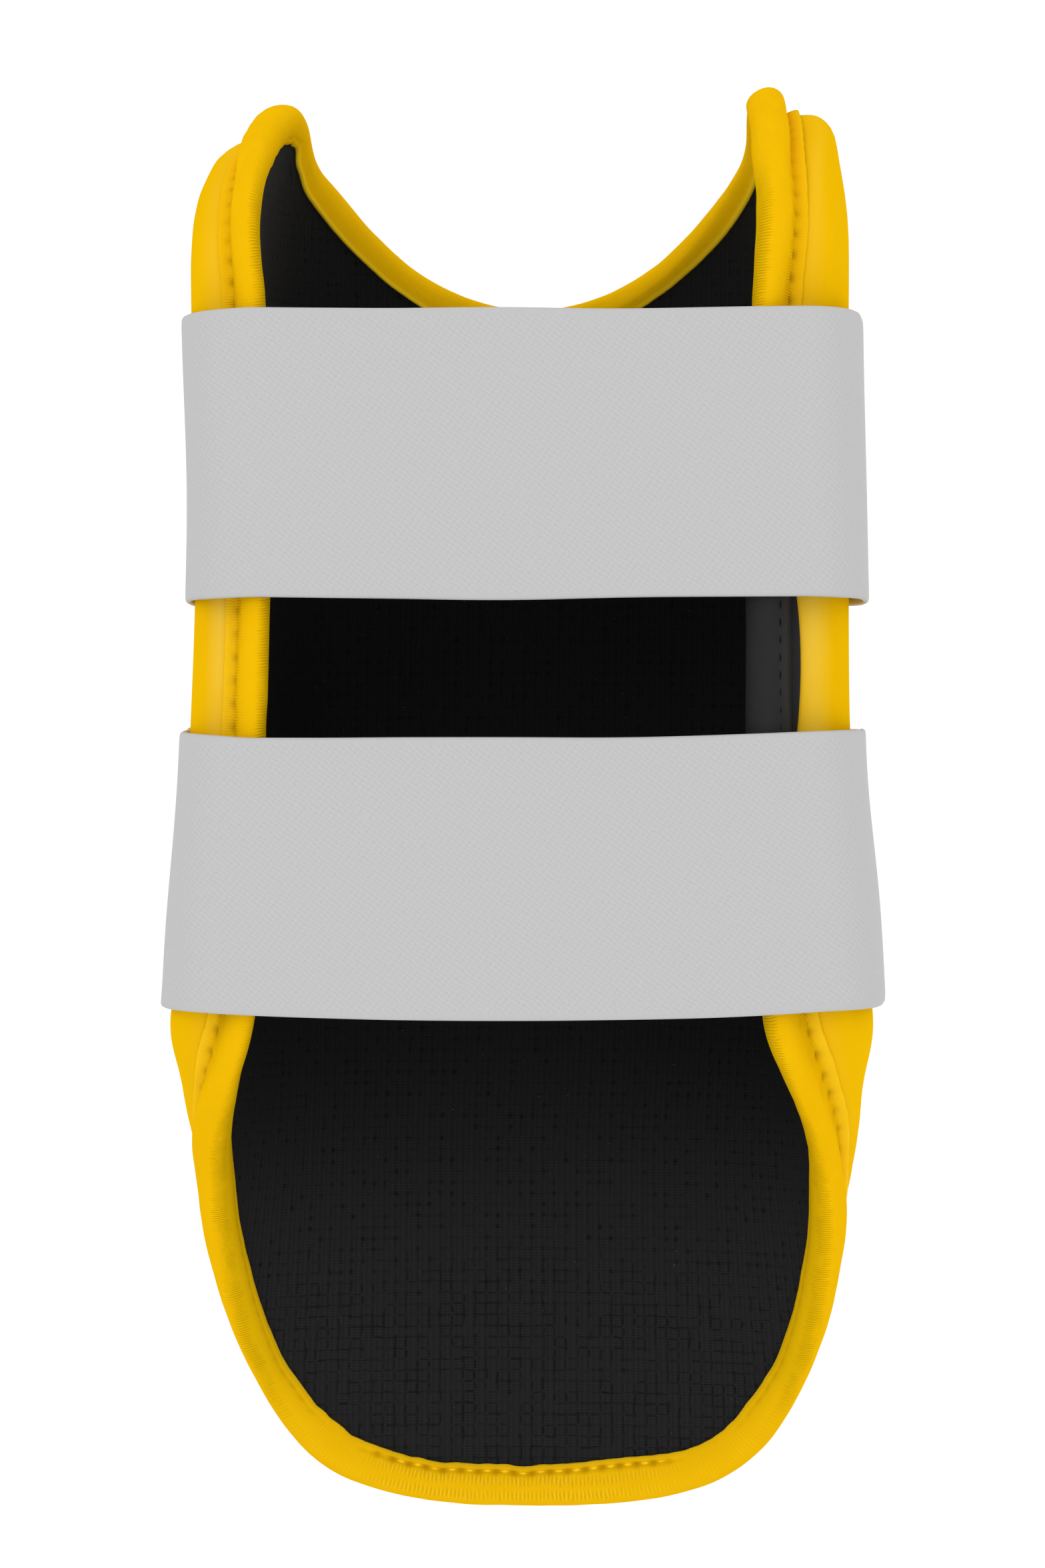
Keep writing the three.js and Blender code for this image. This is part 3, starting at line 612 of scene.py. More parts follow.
    # under face of the tape, hidden in the fold
    y = fr.y
    one = np.ones(fr.n)
    under_d, under_h = [], []
    for t in (1.0, 0.5, 0.2):
        d = -0.2 + (leg + 0.02) * t
        under_d.append(np.maximum(d, 0) * one)
        under_h.append(-(PLY_GAP + LINING_THICK + 0.012) * one)
    for deg in (-60, -20, 20, 60):
        th = math.radians(deg)
        under_d.append(-1.55 * math.cos(th) * one)
        under_h.append(ROLL_MID + 2.2 * math.sin(th) * one)
    for t in (0.0, 0.5, 0.86):
        under_d.append(STITCH_LINE * t * one)
        under_h.append(1.55 * one)
    for t in (0.5, 1.0):
        d, lean = pad_depth(PAD_EDGE + tail * t, y)
        under_d.append(d - (0.03 + lift) * np.sin(lean))
        under_h.append(PAD_EDGE + tail * t + (0.03 + lift) * np.cos(lean))
    under = fr.place(np.stack(under_d, 1), np.stack(under_h, 1))
    rings = np.concatenate([face, under], 1)
    run = np.linalg.norm(np.diff(face, axis=1), axis=-1)
    v = np.concatenate([np.zeros((fr.n, 1)), np.cumsum(run, 1)], 1)
    mid = [i for i, t in enumerate(tag) if t == 3]
    v = v - v[:, mid[6]][:, None]
    vs = np.concatenate([v, np.repeat(v[:, -1:], rings.shape[1] - v.shape[1] + 1, 1)], 1)
    us = np.concatenate([s, [length]])
    dent_painted_shade, rim, slack, base, sewing, upper, ticks = (np.zeros(rings.shape[:2]) for _ in range(7))
    for i, t in enumerate(tag):
        if t in (0, 1, 2):
            # painted shade: dark spots at the seam's dents and a dark line along the seam
            off = v[:, i] - v[:, tag.index(1)]
            near = np.exp(-(off / np.where(off < 0, 0.95, 1.10)) ** 2)
            dent_painted_shade[:, i] = np.clip(near * (0.10 + 0.60 * spots), 0, 1)
            # painted shadow: a dark line on the tail's edge points, where the tail lifts off the pad
            if i < 3:
                dent_painted_shade[:, i] = (0.34, 0.14, 0.0)[i]
        if t in (4, 6):
            # painted shade: darker ground along the inner seam's groove at the foot
            near = np.exp(-((D[:, i] - (leg - 1.25)) / 0.70) ** 2)
            dent_painted_shade[:, i] = near * (0.20 + 0.32 * dips_in) * seam_in
            # painted highlight: a lighter line along the inner leg's edge, where the edge catches light
            rim[:, i] = np.exp(-((D[:, i] - leg + 0.1 * high) / (0.30 + 0.25 * high)) ** 2) * (0.50 + 0.50 * high)
        slack[:, i] = np.maximum(high, rise(height, 100, 112))
        upper[:, i] = rise(height, 76, 92)
        ticks[:, i] = foot * (0.2 + 0.8 * rise(at_x, -34, -22) * (1 - rise(at_x, 12, 28)))
        base[:, i] = foot
        sewing[:, i] = v[:, i] - v[:, tag.index(1)]
    sewing[:, len(tag):] = 20.0
    obj = strip("binding_tape", rings, us, vs, True,
                {"dent_painted_shade": dent_painted_shade, "rim": rim, "slack": slack, "base": base, "sewing": sewing, "upper": upper, "ticks": ticks})
    width = float(v[:, -1].mean() - v[:, 0].mean())
    feet_mids = (np.arange(feet) + 0.5) * (length / feet)
    return obj, fr, s, (STITCH_PITCH, mids), (length / feet, feet_mids), leg, sewn, width, length


def threads(name, ends_a, ends_b, ups, radius, rise, sides=7, rings=7):
    """Short stitches, each a tapered bowed tube between two points."""
    pts, faces = [], []
    t = np.linspace(0, 1, rings)
    ring = np.linspace(0, 2 * math.pi, sides, endpoint=False)
    for p0, p1, up in zip(ends_a, ends_b, ups):
        axis = unit(p1 - p0)
        side = unit(np.cross(axis, up))
        over = np.cross(side, axis)
        base = len(pts)
        for u in t:
            r = radius * max(0.18, math.sin(math.pi * (0.06 + 0.88 * u)) ** 0.55)
            c = p0 + (p1 - p0) * u + over * (rise * math.sin(math.pi * u))
            for w in ring:
                pts.append(c + side * (r * math.cos(w)) + over * (0.8 * r * math.sin(w)))
        for i in range(rings - 1):
            for j in range(sides):
                m = (j + 1) % sides
                faces.append((base + i * sides + j, base + i * sides + m, base + (i + 1) * sides + m, base + (i + 1) * sides + j))
        faces.append(tuple(base + j for j in reversed(range(sides))))
        faces.append(tuple(base + (rings - 1) * sides + j for j in range(sides)))
    return add_mesh(name, np.array(pts), faces)


# ------------------------------------------------------------------ straps
# each strap: its middle, its width, and for both sides the gap to the pad at the upper and the
# lower border, the bend's run across and down and its squareness, how far each border rides up
# at the side, and the share of that reached where the bend begins; last, the lower border's sag in the middle
STRAPS = {
    "upper": (58.6, 50.8, {
        "left": {"gap": (0.40, 0.35), "bend": (14.0, 32.0, 2.9), "rise": (-0.8, -1.0), "early": (-0.5, 0.0)},
        "right": {"gap": (1.4, 2.5), "bend": (9.0, 18.0, 2.3), "rise": (-0.1, -0.5), "early": (-0.8, 0.0)}}, 0.6),
    "lower": (-16.8, 49.8, {
        "left": {"gap": (0.40, 0.35), "bend": (14.0, 31.0, 2.9), "rise": (2.0, 2.2), "early": (0.05, 0.4)},
        "right": {"gap": (1.6, 1.3), "bend": (9.0, 18.0, 2.3), "rise": (1.7, 2.3), "early": (0.64, 0.75)}}, 0.0),
}


def strap_line(y0, w, sizes, steps):
    """One half of a strap's middle line at height y0, a share w across the band, on the right side."""
    blend = lambda pair: pair[1] + (pair[0] - pair[1]) * (w + 0.5)
    gap, bow, early = blend(sizes["gap"]), blend(sizes["rise"]), blend(sizes["early"])
    bend_across, bend_down, square = sizes["bend"]
    reach = lambda y: float(col(0, y) + pad_at(y)) + gap + STRAP_THICK / 2
    line = []
    flat_to = reach(y0 + bow) - bend_across
    front, bend, side, flank = steps
    for i in range(front):
        share = i / front
        line.append((flat_to * share, y0 + bow * early * share ** 2.5, STRAP_FRONT))
    for i in range(bend + 1):
        turn = (i / bend) * (math.pi / 2)
        s, c = math.sin(turn), max(0.0, math.cos(turn))
        r = (s ** square + c ** square) ** (-1 / square)
        y = y0 + bow * (early + (1 - early) * i / bend)
        line.append((reach(y) - bend_across * (1 - r * s), y, STRAP_FRONT - bend_down * (1 - r * c)))
    y = y0 + bow
    widest = BACK_HEIGHT + float(col(1, y))
    top = STRAP_FRONT - bend_down
    for i in range(1, side):
        line.append((reach(y), y, top + (widest - top) * i / side))
    for i in range(flank + 1):
        t = i / flank
        a = 1 + (STRAP_END - 1) * t
        close = gap + (0.35 - gap) * t * t * (3 - 2 * t)
        p = surface(a, y) + outward(a, y) * (float(pad_at(y)) + close + STRAP_THICK / 2)
        line.append((p[0] - float(col(5, y)), p[1], p[2]))
    return np.array(line)


def even(line, count):
    s = np.concatenate([[0], np.cumsum(np.linalg.norm(np.diff(line, axis=0), axis=1))])
    t = np.linspace(0, s[-1], count)
    return np.stack([np.interp(t, s, line[:, j]) for j in range(3)], -1), s[-1]


def make_strap(name, which, seed):
    middle, width, sizes, sag = STRAPS[which]
    count = 321
    edge = [(-0.5, 0.0), (-0.5 + 0.0035, 0.30), (-0.5 + 0.009, 0.44), (-0.5 + 0.022, 0.485)]
    body = [(w, 0.5) for w in np.linspace(-0.46, 0.46, 17)]
    face = edge + body + [(-w, h) for w, h in reversed(edge)]
    back = [(w, -h) for w, h in reversed(face[1:-1])]
    ring = face + back
    rows = {}
    lengths = []
    for w in sorted({w for w, _ in ring}):
        left, right = (strap_line(middle + width * w, w, sizes[side], (60, 40, 24, 60)) for side in ("left", "right"))
        full = np.concatenate([left[:0:-1] * np.array([-1, 1, 1]), right])
        full[:, 0] += col(5, full[:, 1])
        rows[w], run = even(full, count)
        rows[w] = blur(rows[w], 1.2)
        rows[w][:, 1] -= sag * (0.5 - w) ** 2 * np.exp(-(rows[w][:, 0] / 36) ** 2) * (rows[w][:, 2] > STRAP_FRONT - 4)
        lengths.append(run)
    n_ring = len(ring)
    rings = np.zeros((count, n_ring, 3))
    wob = 0.10 * smooth_noise(count, 9, seed, False)
    for j, (w, h) in enumerate(ring):
        p = rows[w]
        t = np.gradient(p, axis=0)
        side = unit(np.stack([-t[:, 2], np.zeros(count), t[:, 0]], -1))
        rings[:, j] = p + side * (STRAP_THICK * h)
        if abs(w) > 0.47:
            rings[:, j, 1] += wob * (1 if w > 0 else -0.7)
    length = float(np.mean(lengths))
    us = np.concatenate([np.linspace(-length / 2, length / 2, count), [length / 2]])
    vrow = np.array([w * STRAP_WIDTH for w, _ in ring] + [ring[0][0] * STRAP_WIDTH])
    vs = np.repeat(vrow[None, :], count, 0)
    pts = rings.reshape(-1, 3)
    faces, uv = [], []
    for k in range(count - 1):
        for j in range(n_ring):
            m = (j + 1) % n_ring
            faces.append((k * n_ring + j, k * n_ring + m, (k + 1) * n_ring + m, (k + 1) * n_ring + j))
            uv += [(us[k], vs[k, j]), (us[k], vs[k, j + 1]), (us[k + 1], vs[k, j + 1]), (us[k + 1], vs[k, j])]
    for k, turn in ((0, False), (count - 1, True)):
        loop = [k * n_ring + j for j in range(n_ring)]
        loop = loop if turn else loop[::-1]
        faces.append(tuple(loop))
        uv += [(us[k], vrow[i % n_ring]) for i in (v % n_ring for v in loop)]
    tri = np.array([f for f in faces if len(f) == 4])
    if not outward_faces(pts, tri):
        start, turned = 0, []
        for f in faces:
            part = uv[start:start + len(f)]
            turned += part[::-1]
            start += len(f)
        faces = [f[::-1] for f in faces]
        uv = turned
    return add_mesh(name, pts, faces, uv), length


# ------------------------------------------------------------------ label
LABEL_LOW, LABEL_HIGH = 2.5, 40.0


def make_label():
    count = 90
    y = np.linspace(LABEL_LOW, LABEL_HIGH, count)
    fr = Frames(np.stack([np.full(count, 1.413), y], -1), closed=False)
    mid = (y - 21.5) / 12.5
    flap = 1.45 + 0.70 * np.clip(1 - mid ** 2, -0.4, 1)
    one = np.ones(count)
    soft = 0.05 * smooth_noise(count, 6, 21, False)
    off = 1.0 + soft
    D, H = [], []

    def put(d, h):
        D.append(d * one)
        H.append(h * one)

    dips = (0.5 + 0.5 * np.cos(2 * math.pi * y / 3.1)) ** 2
    for t in (1.0, 0.985, 0.93, 0.75, 0.55, 0.35, 0.2):
        d, lean = pad_depth(PAD_EDGE + flap * t, y)
        rim = {1.0: 0.68, 0.985: 0.95, 0.93: 1.08}.get(t, 1.12)
        put(d - rim * np.sin(lean), PAD_EDGE + flap * t + rim * np.cos(lean))
    valley = 3.36 - 0.05 * dips
    put(2.34 * one, valley)
    for t in (0.9, 0.75, 0.55, 0.3):
        put(2.3 * t * one, valley + (3.05 + soft - valley) * (1 - t ** 2.4) ** 0.75)
    for deg in range(90, -91, -12):
        th = math.radians(deg)
        up = (3.05 + soft - ROLL_MID) if deg > 0 else (4.50 + soft + ROLL_MID)
        put(-(ROLL_OUT + 0.55 + soft) * math.cos(th), ROLL_MID + up * math.sin(th))
    for d in (0.8, 1.6, 2.4, 3.2):
        put(d * one, -(4.50 + soft - 0.9 * d / 3.2))
    put(3.3 * one, -3.1 * one)
    face = fr.place(np.stack(D, 1), np.stack(H, 1))
    inner = fr.place(np.stack(D, 1), np.stack(H, 1) - 0.0)
    # under face: pushed 0.42 mm towards the fold
    tang = np.gradient(face, axis=1)
    normal = unit(np.cross(np.repeat(fr.along[:, None, :], face.shape[1], 1), tang))
    centre = fr.place(np.full((count, 1), 1.0), np.full((count, 1), 0.4))
    sign = np.sign(((face - centre) * normal).sum(-1, keepdims=True))
    inner = face - normal * np.median(sign) * 0.42
    rings = np.concatenate([face, inner[:, ::-1]], 1)
    run = np.linalg.norm(np.diff(face, axis=1), axis=-1)
    v = np.concatenate([np.zeros((count, 1)), np.cumsum(run, 1)], 1)
    vs = np.concatenate([v, v[:, ::-1], v[:, :1]], 1)
    us = np.concatenate([y, y[-1:]])
    size = rings.shape[1]
    pts = rings.reshape(-1, 3)
    faces, uv = [], []
    for k in range(count - 1):
        for j in range(size):
            m = (j + 1) % size
            faces.append((k * size + j, k * size + m, (k + 1) * size + m, (k + 1) * size + j))
            uv += [(us[k], vs[k, j]), (us[k], vs[k, j + 1]), (us[k + 1], vs[k + 1, j + 1]), (us[k + 1], vs[k + 1, j])]
    half = face.shape[1]
    for k, turn in ((0, 1), (count - 1, -1)):
        for j in range(half - 1):
            q = [k * size + j, k * size + j + 1, k * size + size - 2 - j, k * size + size - 1 - j]
            q = q[::turn] if turn < 0 else q[::-1]
            faces.append(tuple(q))
            uv += [(us[k], 0)] * 4
    tri = np.array(faces)
    if not outward_faces(pts, tri):
        start, turned = 0, []
        for f in faces:
            turned += uv[start:start + len(f)][::-1]
            start += len(f)
        faces, uv = [f[::-1] for f in faces], turned
    obj = add_mesh("label_strip", pts, faces, uv)
    # dark stitches: at the fold's outer stitch line
    sy = np.arange(LABEL_LOW + 1.2, LABEL_HIGH - 1, 3.1)
    def at(yv, d, h):
        f = Frames(np.stack([np.full(len(yv), 1.413), yv], -1), closed=False)
        return f.place(np.full((len(yv), 1), d), np.full((len(yv), 1), h))[:, 0], f.up
    pa, ua = at(sy - 0.7, -2.62, 2.20)
    pb, ub = at(sy + 0.7, -2.62, 2.20)
    sew = threads("label_stitches", pa, pb, unit(ua + ub), 0.12, 0.05)
    width = float(v[:, -1].mean())
    return obj, sew, width


# ------------------------------------------------------------------ materials
class Paint:
    def __init__(self, name, **sockets):
        self.m = bpy.data.materials.new(name)
        self.m.use_nodes = True
        self.t = self.m.node_tree
        self.t.nodes.clear()
        self.out = self.t.nodes.new("ShaderNodeOutputMaterial")
        self.b = self.t.nodes.new("ShaderNodeBsdfPrincipled")
        self.t.links.new(self.b.outputs[0], self.out.inputs[0])
        for k, v in sockets.items():
            self.b.inputs[k.replace("_", " ")].default_value = v

    def put(self, socket, value):
        if hasattr(value, "is_linked"):
            self.t.links.new(value, socket)
        else:
            socket.default_value = value

    def math(self, op, *args, clamp=False):
        n = self.t.nodes.new("ShaderNodeMath")
        n.operation = op
        n.use_clamp = clamp
        for i, v in enumerate(args):
            self.put(n.inputs[i], v)
        return n.outputs[0]

    def uv(self):
        n = self.t.nodes.new("ShaderNodeUVMap")
        n.uv_map = "cut"
        s = self.t.nodes.new("ShaderNodeSeparateXYZ")
        self.t.links.new(n.outputs[0], s.inputs[0])
        return s.outputs[0], s.outputs[1]

    def vec(self, x, y, z=0.0):
        n = self.t.nodes.new("ShaderNodeCombineXYZ")
        for i, v in enumerate((x, y, z)):
            self.put(n.inputs[i], v)
        return n.outputs[0]

    def place(self):
        n = self.t.nodes.new("ShaderNodeTexCoord")
        return n.outputs["Object"]

    def noise(self, vector, scale, detail=2.0, rough=0.5):
        n = self.t.nodes.new("ShaderNodeTexNoise")
        self.t.links.new(vector, n.inputs["Vector"])
        n.inputs["Scale"].default_value = scale
        n.inputs["Detail"].default_value = detail
        n.inputs["Roughness"].default_value = rough
        return n.outputs["Fac"] if "Fac" in n.outputs else n.outputs[0]

    def cell(self, vector):
        """One chance value, 0..1, for each whole-number spot."""
        n = self.t.nodes.new("ShaderNodeTexWhiteNoise")
        n.noise_dimensions = "2D"
        self.t.links.new(vector, n.inputs["Vector"])
        return n.outputs["Value"]

    def attribute(self, name):
        n = self.t.nodes.new("ShaderNodeAttribute")
        n.attribute_name = name
        return n.outputs["Fac"]

    def fit(self, value, a, b, c, d):
        n = self.t.nodes.new("ShaderNodeMapRange")
        n.interpolation_type = "SMOOTHSTEP"
        self.put(n.inputs[0], value)
        for i, v in enumerate((a, b, c, d)):
            self.put(n.inputs[i + 1], v)
        return n.outputs[0]

    def mix(self, fac, one, two, mode="MIX"):
        n = self.t.nodes.new("ShaderNodeMix")
        n.data_type = "RGBA"
        n.blend_type = mode
        self.put(n.inputs["Factor"], fac)
        ins = [i for i in n.inputs if i.type == "RGBA"]
        self.put(ins[0], one)
        self.put(ins[1], two)
        return [o for o in n.outputs if o.type == "RGBA"][0]

    def bump(self, height, strength, distance, below=None):
        n = self.t.nodes.new("ShaderNodeBump")
        n.inputs["Strength"].default_value = strength
        n.inputs["Distance"].default_value = distance
        self.t.links.new(height, n.inputs["Height"])
        if below is not None:
            self.t.links.new(below, n.inputs["Normal"])
        return n.outputs[0]

    def wave(self, value, pitch, phase=None):
        """-1..1 along value with that pitch."""
        v = self.math("MULTIPLY", value, 2 * math.pi / pitch)
        if phase is not None:
            v = self.math("ADD", v, phase)
        return self.math("SINE", v)

    def colour(self, socket):
        self.t.links.new(socket, self.b.inputs["Base Color"])

    def normal(self, socket):
        self.t.links.new(socket, self.b.inputs["Normal"])

    def rough(self, socket):
        self.t.links.new(socket, self.b.inputs["Roughness"])


def rgb(r, g, b):
    return (r, g, b, 1.0)


YELLOW_SHINE = rgb(1.0, 0.72, 0.12)


def shell_paint():
    p = Paint("satin_cover", Roughness=0.42, Specular_Tint=YELLOW_SHINE)
    p.b.inputs["Specular IOR Level"].default_value = 0.0
    where = p.place()
    broad = p.noise(where, 26.0, 2.0)
    base = p.mix(p.fit(broad, 0.3, 0.7, 0, 1), rgb(0.835, 0.468, 0.0012), rgb(0.860, 0.490, 0.0018))
    # painted highlight: paler yellow along the band beside the tape, in place of a satin sheen
    painted_sheen_amount = p.math("MULTIPLY", p.attribute("painted_sheen_band"), p.fit(p.noise(where, 40.0, 1.0), 0.3, 0.7, 0.45, 1.0))
    p.colour(p.mix(painted_sheen_amount, base, rgb(0.885, 0.572, 0.055)))
    u, v = p.uv()
    knit = p.math("MULTIPLY", p.wave(u, 0.34), p.wave(v, 0.42))
    fine = p.noise(where, 2600.0, 2.0)
    soft = p.noise(where, 60.0, 2.0)
    h = p.math("ADD", p.math("MULTIPLY", knit, 0.12), p.math("MULTIPLY", fine, 0.35))
    low = p.bump(soft, 0.12, 0.0006)
    p.normal(p.bump(h, 0.10, 0.00012, low))
    return p.m


def tape_paint():
    p = Paint("ribbed_tape", Roughness=0.62, Specular_Tint=YELLOW_SHINE)
    p.b.inputs["Specular IOR Level"].default_value = 0.0
    u, v = p.uv()
    drift = p.noise(p.vec(p.math("MULTIPLY", u, 0.50), p.math("MULTIPLY", v, 0.30)), 1.0, 2.0)
    patchy = p.noise(p.vec(p.math("MULTIPLY", u, 0.16), p.math("MULTIPLY", v, 0.30), 7.0), 1.0, 2.0)
    slack, foot = p.attribute("slack"), p.attribute("base")
    side = p.math("SUBTRACT", 1.0, foot)
    skew = p.math("MULTIPLY", p.math("MAXIMUM", v, 0.0), 0.10)
    shake = p.math("MULTIPLY", p.math("SUBTRACT", drift, 0.5), 7.0)
    fine = p.wave(p.math("ADD", u, skew), 0.50, shake)
    wide = p.wave(u, 0.76, p.math("MULTIPLY", shake, 0.7))
    gap = p.math("ADD", p.math("MULTIPLY", p.fit(fine, -1.0, 0.4, 1.0, 0.0), side), p.math("MULTIPLY", p.fit(wide, -1.0, 0.7, 1.0, 0.0), foot))
    crossing = p.wave(p.math("ADD", u, p.math("MULTIPLY", v, 0.9)), 0.52, p.math("MULTIPLY", drift, 5.0))
    uneven = p.math("ADD", p.math("SUBTRACT", p.noise(p.vec(u, 3.0), 0.9, 2.0), 0.5),
                    p.math("MULTIPLY", p.math("SUBTRACT", p.noise(p.vec(u, 8.0), 2.4, 1.0), 0.5), 0.9))
    bent = p.math("ADD", v, p.math("MULTIPLY", uneven, 1.6))
    band = lambda x, a, b, c, d: p.math("MULTIPLY", p.fit(x, a, b, 0.0, 1.0), p.fit(x, c, d, 1.0, 0.0))
    # gathers run from the seam on to the roll and again where the roll turns to the arm
    sewing = p.attribute("sewing")
    stirred = p.math("ADD", sewing, p.math("MULTIPLY", uneven, 1.4))
    beside = p.math("MULTIPLY", band(stirred, -0.1, 0.5, 1.4, 4.4), 0.85)
    inside = band(bent, 0.2, 1.9, 3.4, 5.0)
    ends = p.math("MAXIMUM", band(bent, 2.6, 3.7, 4.2, 5.5), band(bent, 5.6, 6.7, 7.1, 8.3))
    flanks = p.math("MULTIPLY", p.math("MAXIMUM", p.math("MAXIMUM", beside, inside), 0.11), side)
    flanks = p.math("MULTIPLY", flanks, p.fit(patchy, 0.30, 0.60, 0.25, 1.0))
    ticks = p.math("MULTIPLY", p.math("MULTIPLY", ends, p.attribute("ticks")), p.fit(patchy, 0.30, 0.60, 0.30, 0.62))
    where = p.math("ADD", flanks, ticks)
    where = p.math("MULTIPLY", where, p.math("SUBTRACT", 1.0, p.math("MULTIPLY", slack, 0.92)))
    scoop = p.math("MULTIPLY", p.math("MULTIPLY", band(bent, 3.0, 3.5, 4.2, 4.8), slack), 0.10)
    amount = p.math("ADD", where, scoop)
    tail = p.fit(sewing, -0.6, -0.1, 1.0, 0.0)
    grain = p.noise(p.vec(u, v), 6.5, 3.0)
    ribs = p.math("MULTIPLY", gap, amount)
    strip_rib = p.math("MULTIPLY", p.math("MULTIPLY", gap, tail), p.fit(patchy, 0.35, 0.65, 0.02, 0.20))
    hatch = p.math("MULTIPLY", crossing, 0.04)
    h = p.math("SUBTRACT", p.math("ADD", p.math("MULTIPLY", grain, 0.18), hatch), p.math("ADD", ribs, strip_rib))
    p.normal(p.bump(h, 0.55, 0.00026))
    base = p.mix(p.fit(patchy, 0.25, 0.75, 0, 1), rgb(0.838, 0.468, 0.0018), rgb(0.870, 0.490, 0.0026))
    # painted shade: the roll's inner half, which faces into the trough, is darkened towards the lining
    inner_roll_painted_shade = p.math("MULTIPLY", p.fit(v, 0.9, 3.7, 0.0, 0.58), p.math("MULTIPLY", side, p.math("SUBTRACT", 1.0, slack)))
    base = p.mix(inner_roll_painted_shade, base, rgb(0.560, 0.350, 0.0020))
    base = p.mix(p.math("MULTIPLY", foot, 0.5), base, rgb(0.790, 0.445, 0.0030))
    # painted light: the tail strip beside the seam is lightened to offset the roll's shade on it, less so on the upper
    # wing
    light = p.math("MULTIPLY", tail, p.math("SUBTRACT", 1.0, p.math("MULTIPLY", p.attribute("upper"), 0.75)))
    tail_painted_light = p.mix(light, base, rgb(0.930, 0.562, 0.0100))
    # painted shade: darker olive in the gaps between the ribs
    ribs_painted_light = p.mix(p.math("MULTIPLY", ribs, 0.46), tail_painted_light, rgb(0.42, 0.240, 0.0006))
    # painted highlight: the crests of the foot's ticks are made lighter
    ridge_painted_highlight = p.math("MULTIPLY", p.math("MULTIPLY", p.fit(wide, 0.1, 1.0, 0.0, 1.0), ticks), 0.75)
    ribs_painted_light = p.mix(ridge_painted_highlight, ribs_painted_light, rgb(0.96, 0.62, 0.030))
    # painted shade: dark olive in the seam dents, along the inner groove and at the tail's edge
    with_painted_dent_shade = p.mix(p.math("MULTIPLY", p.attribute("dent_painted_shade"), 0.95), ribs_painted_light, rgb(0.20, 0.110, 0.0006))
    # painted highlight: lighter yellow on the inner leg's edge
    p.colour(p.mix(p.math("MULTIPLY", p.attribute("rim"), 0.9), with_painted_dent_shade, rgb(0.98, 0.66, 0.020)))
    return p.m


